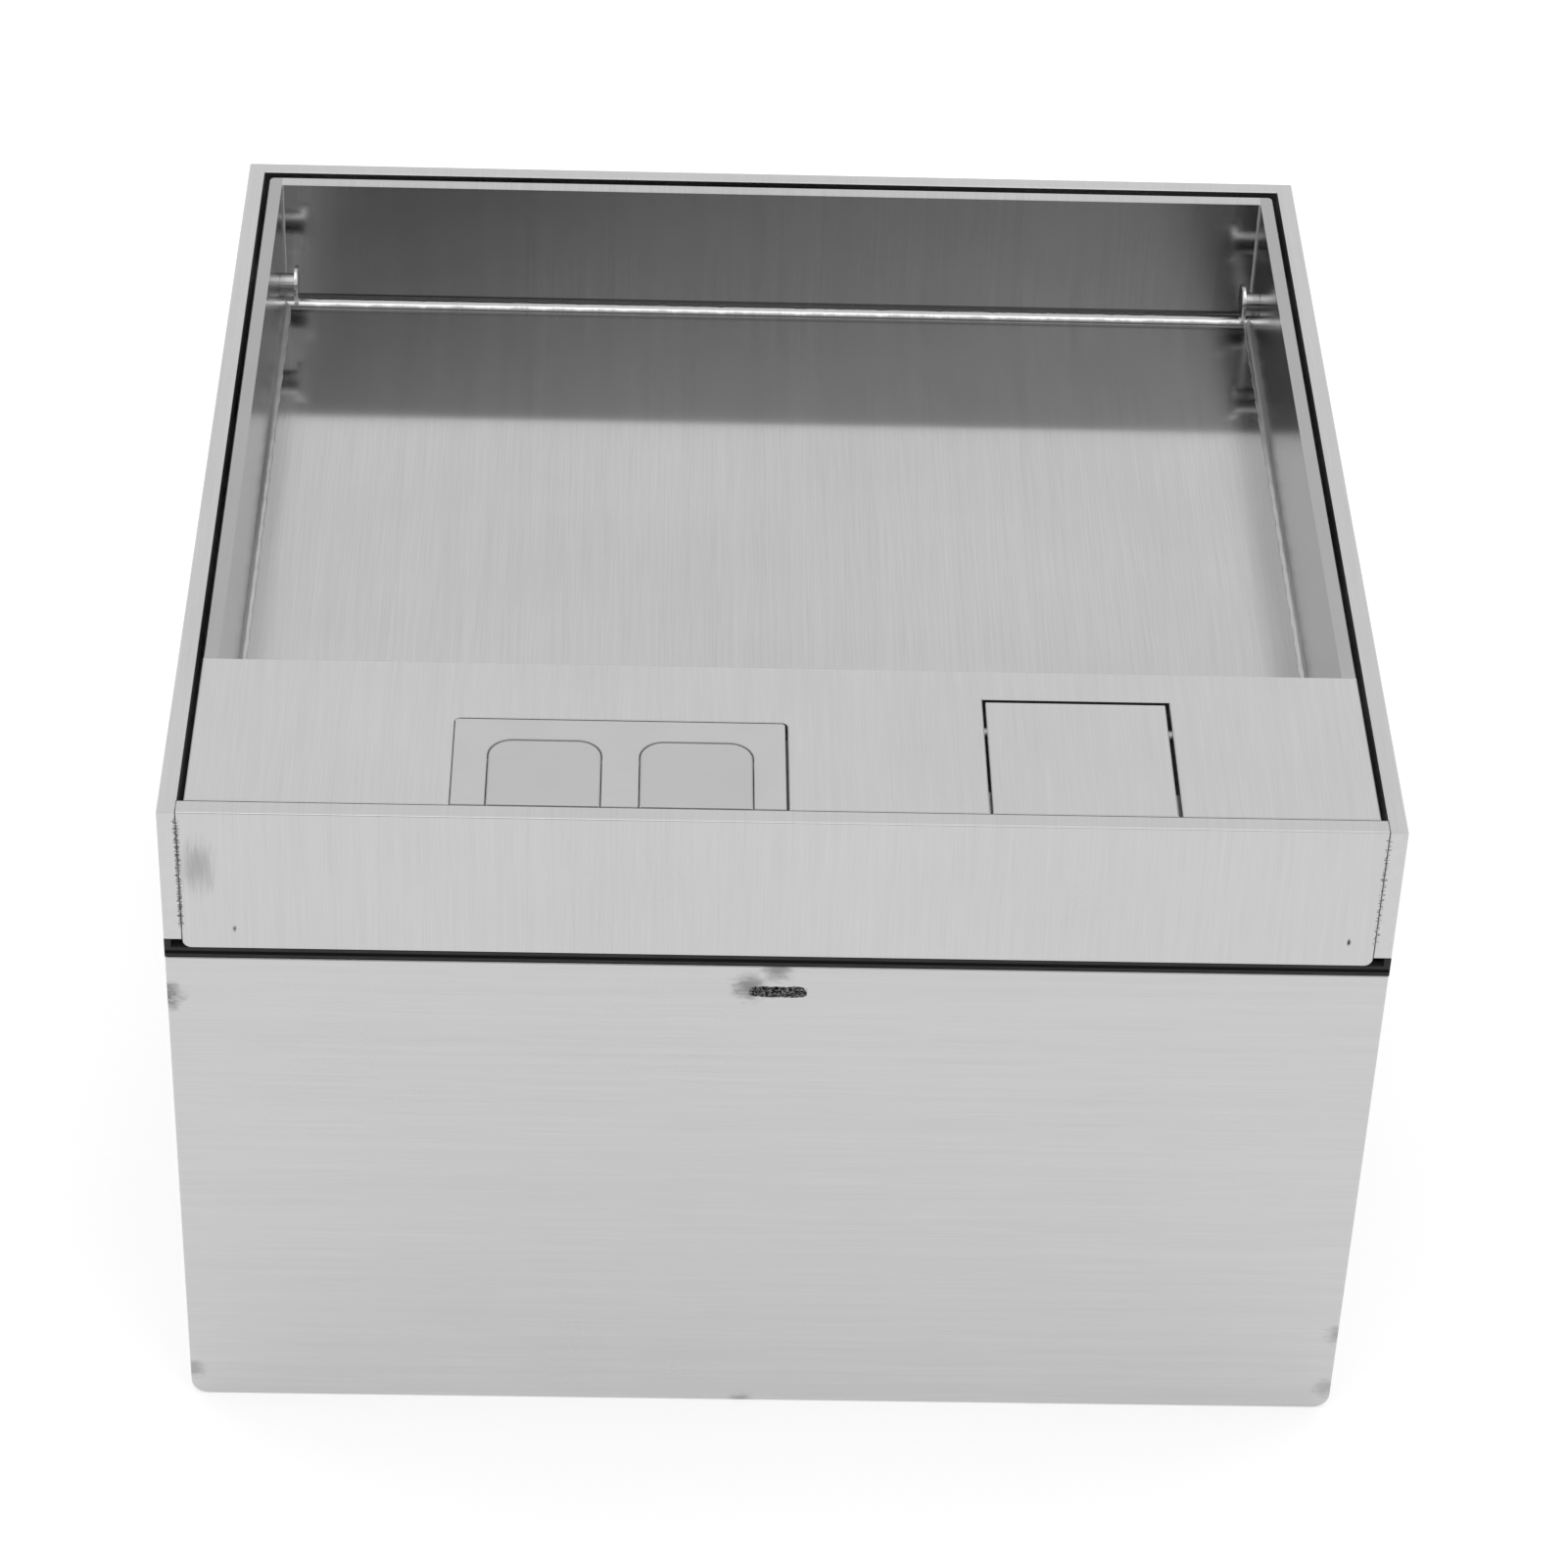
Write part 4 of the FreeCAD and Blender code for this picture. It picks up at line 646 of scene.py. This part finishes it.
finishes = {
    "boxSteel": ["frame_straps", "lid_rest_left", "lid_rest_right"],
    "panelSteel": ["box_front_panel", "box_back_panel", "front_stiffener", "back_stiffener"],
    "wrapSteel": ["box_body"],
    "frameSteel": ["frame_front_plate", "front_ledge_left", "front_ledge_right"],
    "barSteel": ["frame_left_bar", "frame_right_bar", "frame_back_bar"],
    "traySteel": ["lid_pan"],
    "traySideShadedSteel": ["lid_side_left", "lid_side_right"],
    "stripSteel": ["lid_strip", "lift_tab"],
    "platedSteel": ["socket_carrier"],
    "screwZinc": ["strap_screws"],
    "studZinc": ["carrier_studs"],
    "brightZinc": ["carrier_nuts"],
    "pinSteel": ["hinge_pin_left", "hinge_pin_right"],
    "tackSteel": ["lift_tab_pin"],
    "nickelSpring": ["socket_earth_clips"],
    "studBrass": ["earth_stud"],
    "turnedBrass": ["earth_washer", "earth_nut"],
    "outletGrey": ["cable_outlet_insert"],
    "flapShadedGrey": ["cable_flap_left", "cable_flap_right"],
    "socketWhite": ["power_socket_left", "power_socket_middle", "data_module"],
    "jackBlack": ["data_jack_left", "data_jack_right"],
    "entryGrey": ["blanking_plugs"],
    "sealRubber": ["frame_gasket", "rest_pad_left", "rest_pad_right"],
    "paleNylon": ["hinge_washers"],
}


def dressNodes(table):
    # each node takes the one material of its row
    for name, members in table.items():
        for member in members:
            slots = nodes[member].data.materials
            slots.clear()
            slots.append(materials[name])


dressNodes(finishes)
missing = sorted(set(nodes) - {member for members in finishes.values() for member in members})
print("dressed nodes, left over:", missing)


# mesh helpers

def meshFromArrays(name, points, faces, material, body):
    # smooth piece that rides a body; points: n by 3 in metres; faces: rows of point numbers
    mesh = bpy.data.meshes.new(name)
    mesh.from_pydata(points.tolist(), [], faces)
    mesh.polygons.foreach_set("use_smooth", np.full(len(mesh.polygons), True))
    mesh.materials.append(material)
    piece = bpy.data.objects.new(name, mesh)
    bpy.context.scene.collection.objects.link(piece)
    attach(piece, body)


def ringFaces(rows, columns):
    # quads between neighbouring rows of a grid whose columns close into rings
    rr, cc = np.meshgrid(np.arange(rows - 1), np.arange(columns), indexing="ij")
    row, nextRow, nextC = rr * columns, (rr + 1) * columns, (cc + 1) % columns
    return np.stack([row + cc, nextRow + cc, nextRow + nextC, row + nextC], -1).reshape(-1, 4)


def sweptSolid(sections):
    # closed solid from stations of one outline: sections is stations by corners by 3; the ends are fans
    # round their middles, and every face looks outwards
    stations, corners = sections.shape[:2]
    ends = sections[[0, -1]].mean(1)
    points = np.concatenate([sections.reshape(-1, 3), ends])
    first, last = stations * corners, stations * corners + 1
    c = np.arange(corners)
    nextC = (c + 1) % corners
    shift = (stations - 1) * corners
    start = np.stack([np.full(corners, first), nextC, c], -1)
    end = np.stack([np.full(corners, last), c + shift, nextC + shift], -1)
    faces = ringFaces(stations, corners)[:, ::-1].tolist() + start.tolist() + end.tolist()
    triangles = np.array([face[:3] for face in faces])
    a, b, d = (points[triangles[:, k]] for k in range(3))
    inward = (np.cross(b - a, d - a) * (a - points.mean(0))).sum() < 0
    return points, [face[::-1] for face in faces] if inward else faces


# rounded weld along the tray's side walls

traySeam = {
    "inner": 93.4, "floor": 103.6, "front": -58.7, "back": 92.5, "top": 129.7,  # mm: faces it lies on
    "foot": 1.1, "upright": 0.3,        # leg of the weld along the floor and up the rear corners
    "endGap": 0.4, "cornerFrom": 0.6,
    "embed": 0.3, "arc": 7, "stations": 150,
    "slow": (0.07, 0.9), "quick": (0.05, 2.3), "rough": 0.02, "seed": 5,        # swell: share, turns per mm
}


def concaveSection(leg, embed, count):
    # quarter hollow from (leg, 0) to (0, leg) round (leg, leg), closed by a corner sunk into both sheets
    angle = np.linspace(1.5 * np.pi, np.pi, count)
    arc = np.stack([leg + leg * np.cos(angle), leg + leg * np.sin(angle)], -1)
    tail = np.array([(-embed, leg), (-embed, -embed), (leg, -embed)])
    return np.concatenate([arc, tail])


def makeTraySeams(setup):
    # each weld is the hollow section carried along a straight edge; its leg swells and shrinks by two
    # sines and a little chance
    rng = np.random.default_rng(setup["seed"])
    (slowShare, slowRate), (quickShare, quickRate) = setup["slow"], setup["quick"]
    for side, name in ((-1, "left"), (1, "right")):
        runs = [("floor", setup["foot"], setup["front"] + setup["endGap"], setup["back"] - setup["endGap"]),
                ("corner", setup["upright"], setup["floor"] + setup["cornerFrom"], setup["top"])]
        for kind, leg, low, high in runs:
            t = np.linspace(low, high, setup["stations"])
            swell = (1 + slowShare * np.sin(t * slowRate + side) + quickShare * np.sin(t * quickRate)
                     + setup["rough"] * rng.standard_normal(len(t)))
            base = concaveSection(1.0, setup["embed"] / leg, setup["arc"])
            section = base[None] * (leg * swell)[:, None, None]
            a, b = section[..., 0], section[..., 1]
            along = np.broadcast_to(t[:, None], a.shape)
            if kind == "floor":
                points = np.stack([side * (setup["inner"] - a), along, setup["floor"] + b], -1)
            else:
                points = np.stack([side * (setup["inner"] - a), setup["back"] - b, along], -1)
            cloud, faces = sweptSolid(points * mm)
            meshFromArrays(f"seam_{kind}_{name}", cloud, faces, materials["seamSteel"], "lid")


makeTraySeams(traySeam)
print("tray seams")


# floor

floorSetup = {"half": 6.0, "glow": 0.55}


def makeFloor(setup):
    # level square sheet under the box
    half = setup["half"]
    points = [(-half, -half, 0), (half, -half, 0), (half, half, 0), (-half, half, 0)]
    mesh = bpy.data.meshes.new("floor")
    mesh.from_pydata(points, [], [(0, 1, 2, 3)])
    glow = materials["floorPaint"].node_tree.nodes["Principled BSDF"].inputs
    glow["Emission Color"].default_value = (1, 1, 1, 1)
    glow["Emission Strength"].default_value = setup["glow"]
    mesh.materials.append(materials["floorPaint"])
    floor = bpy.data.objects.new("floor", mesh)
    bpy.context.scene.collection.objects.link(floor)


makeFloor(floorSetup)
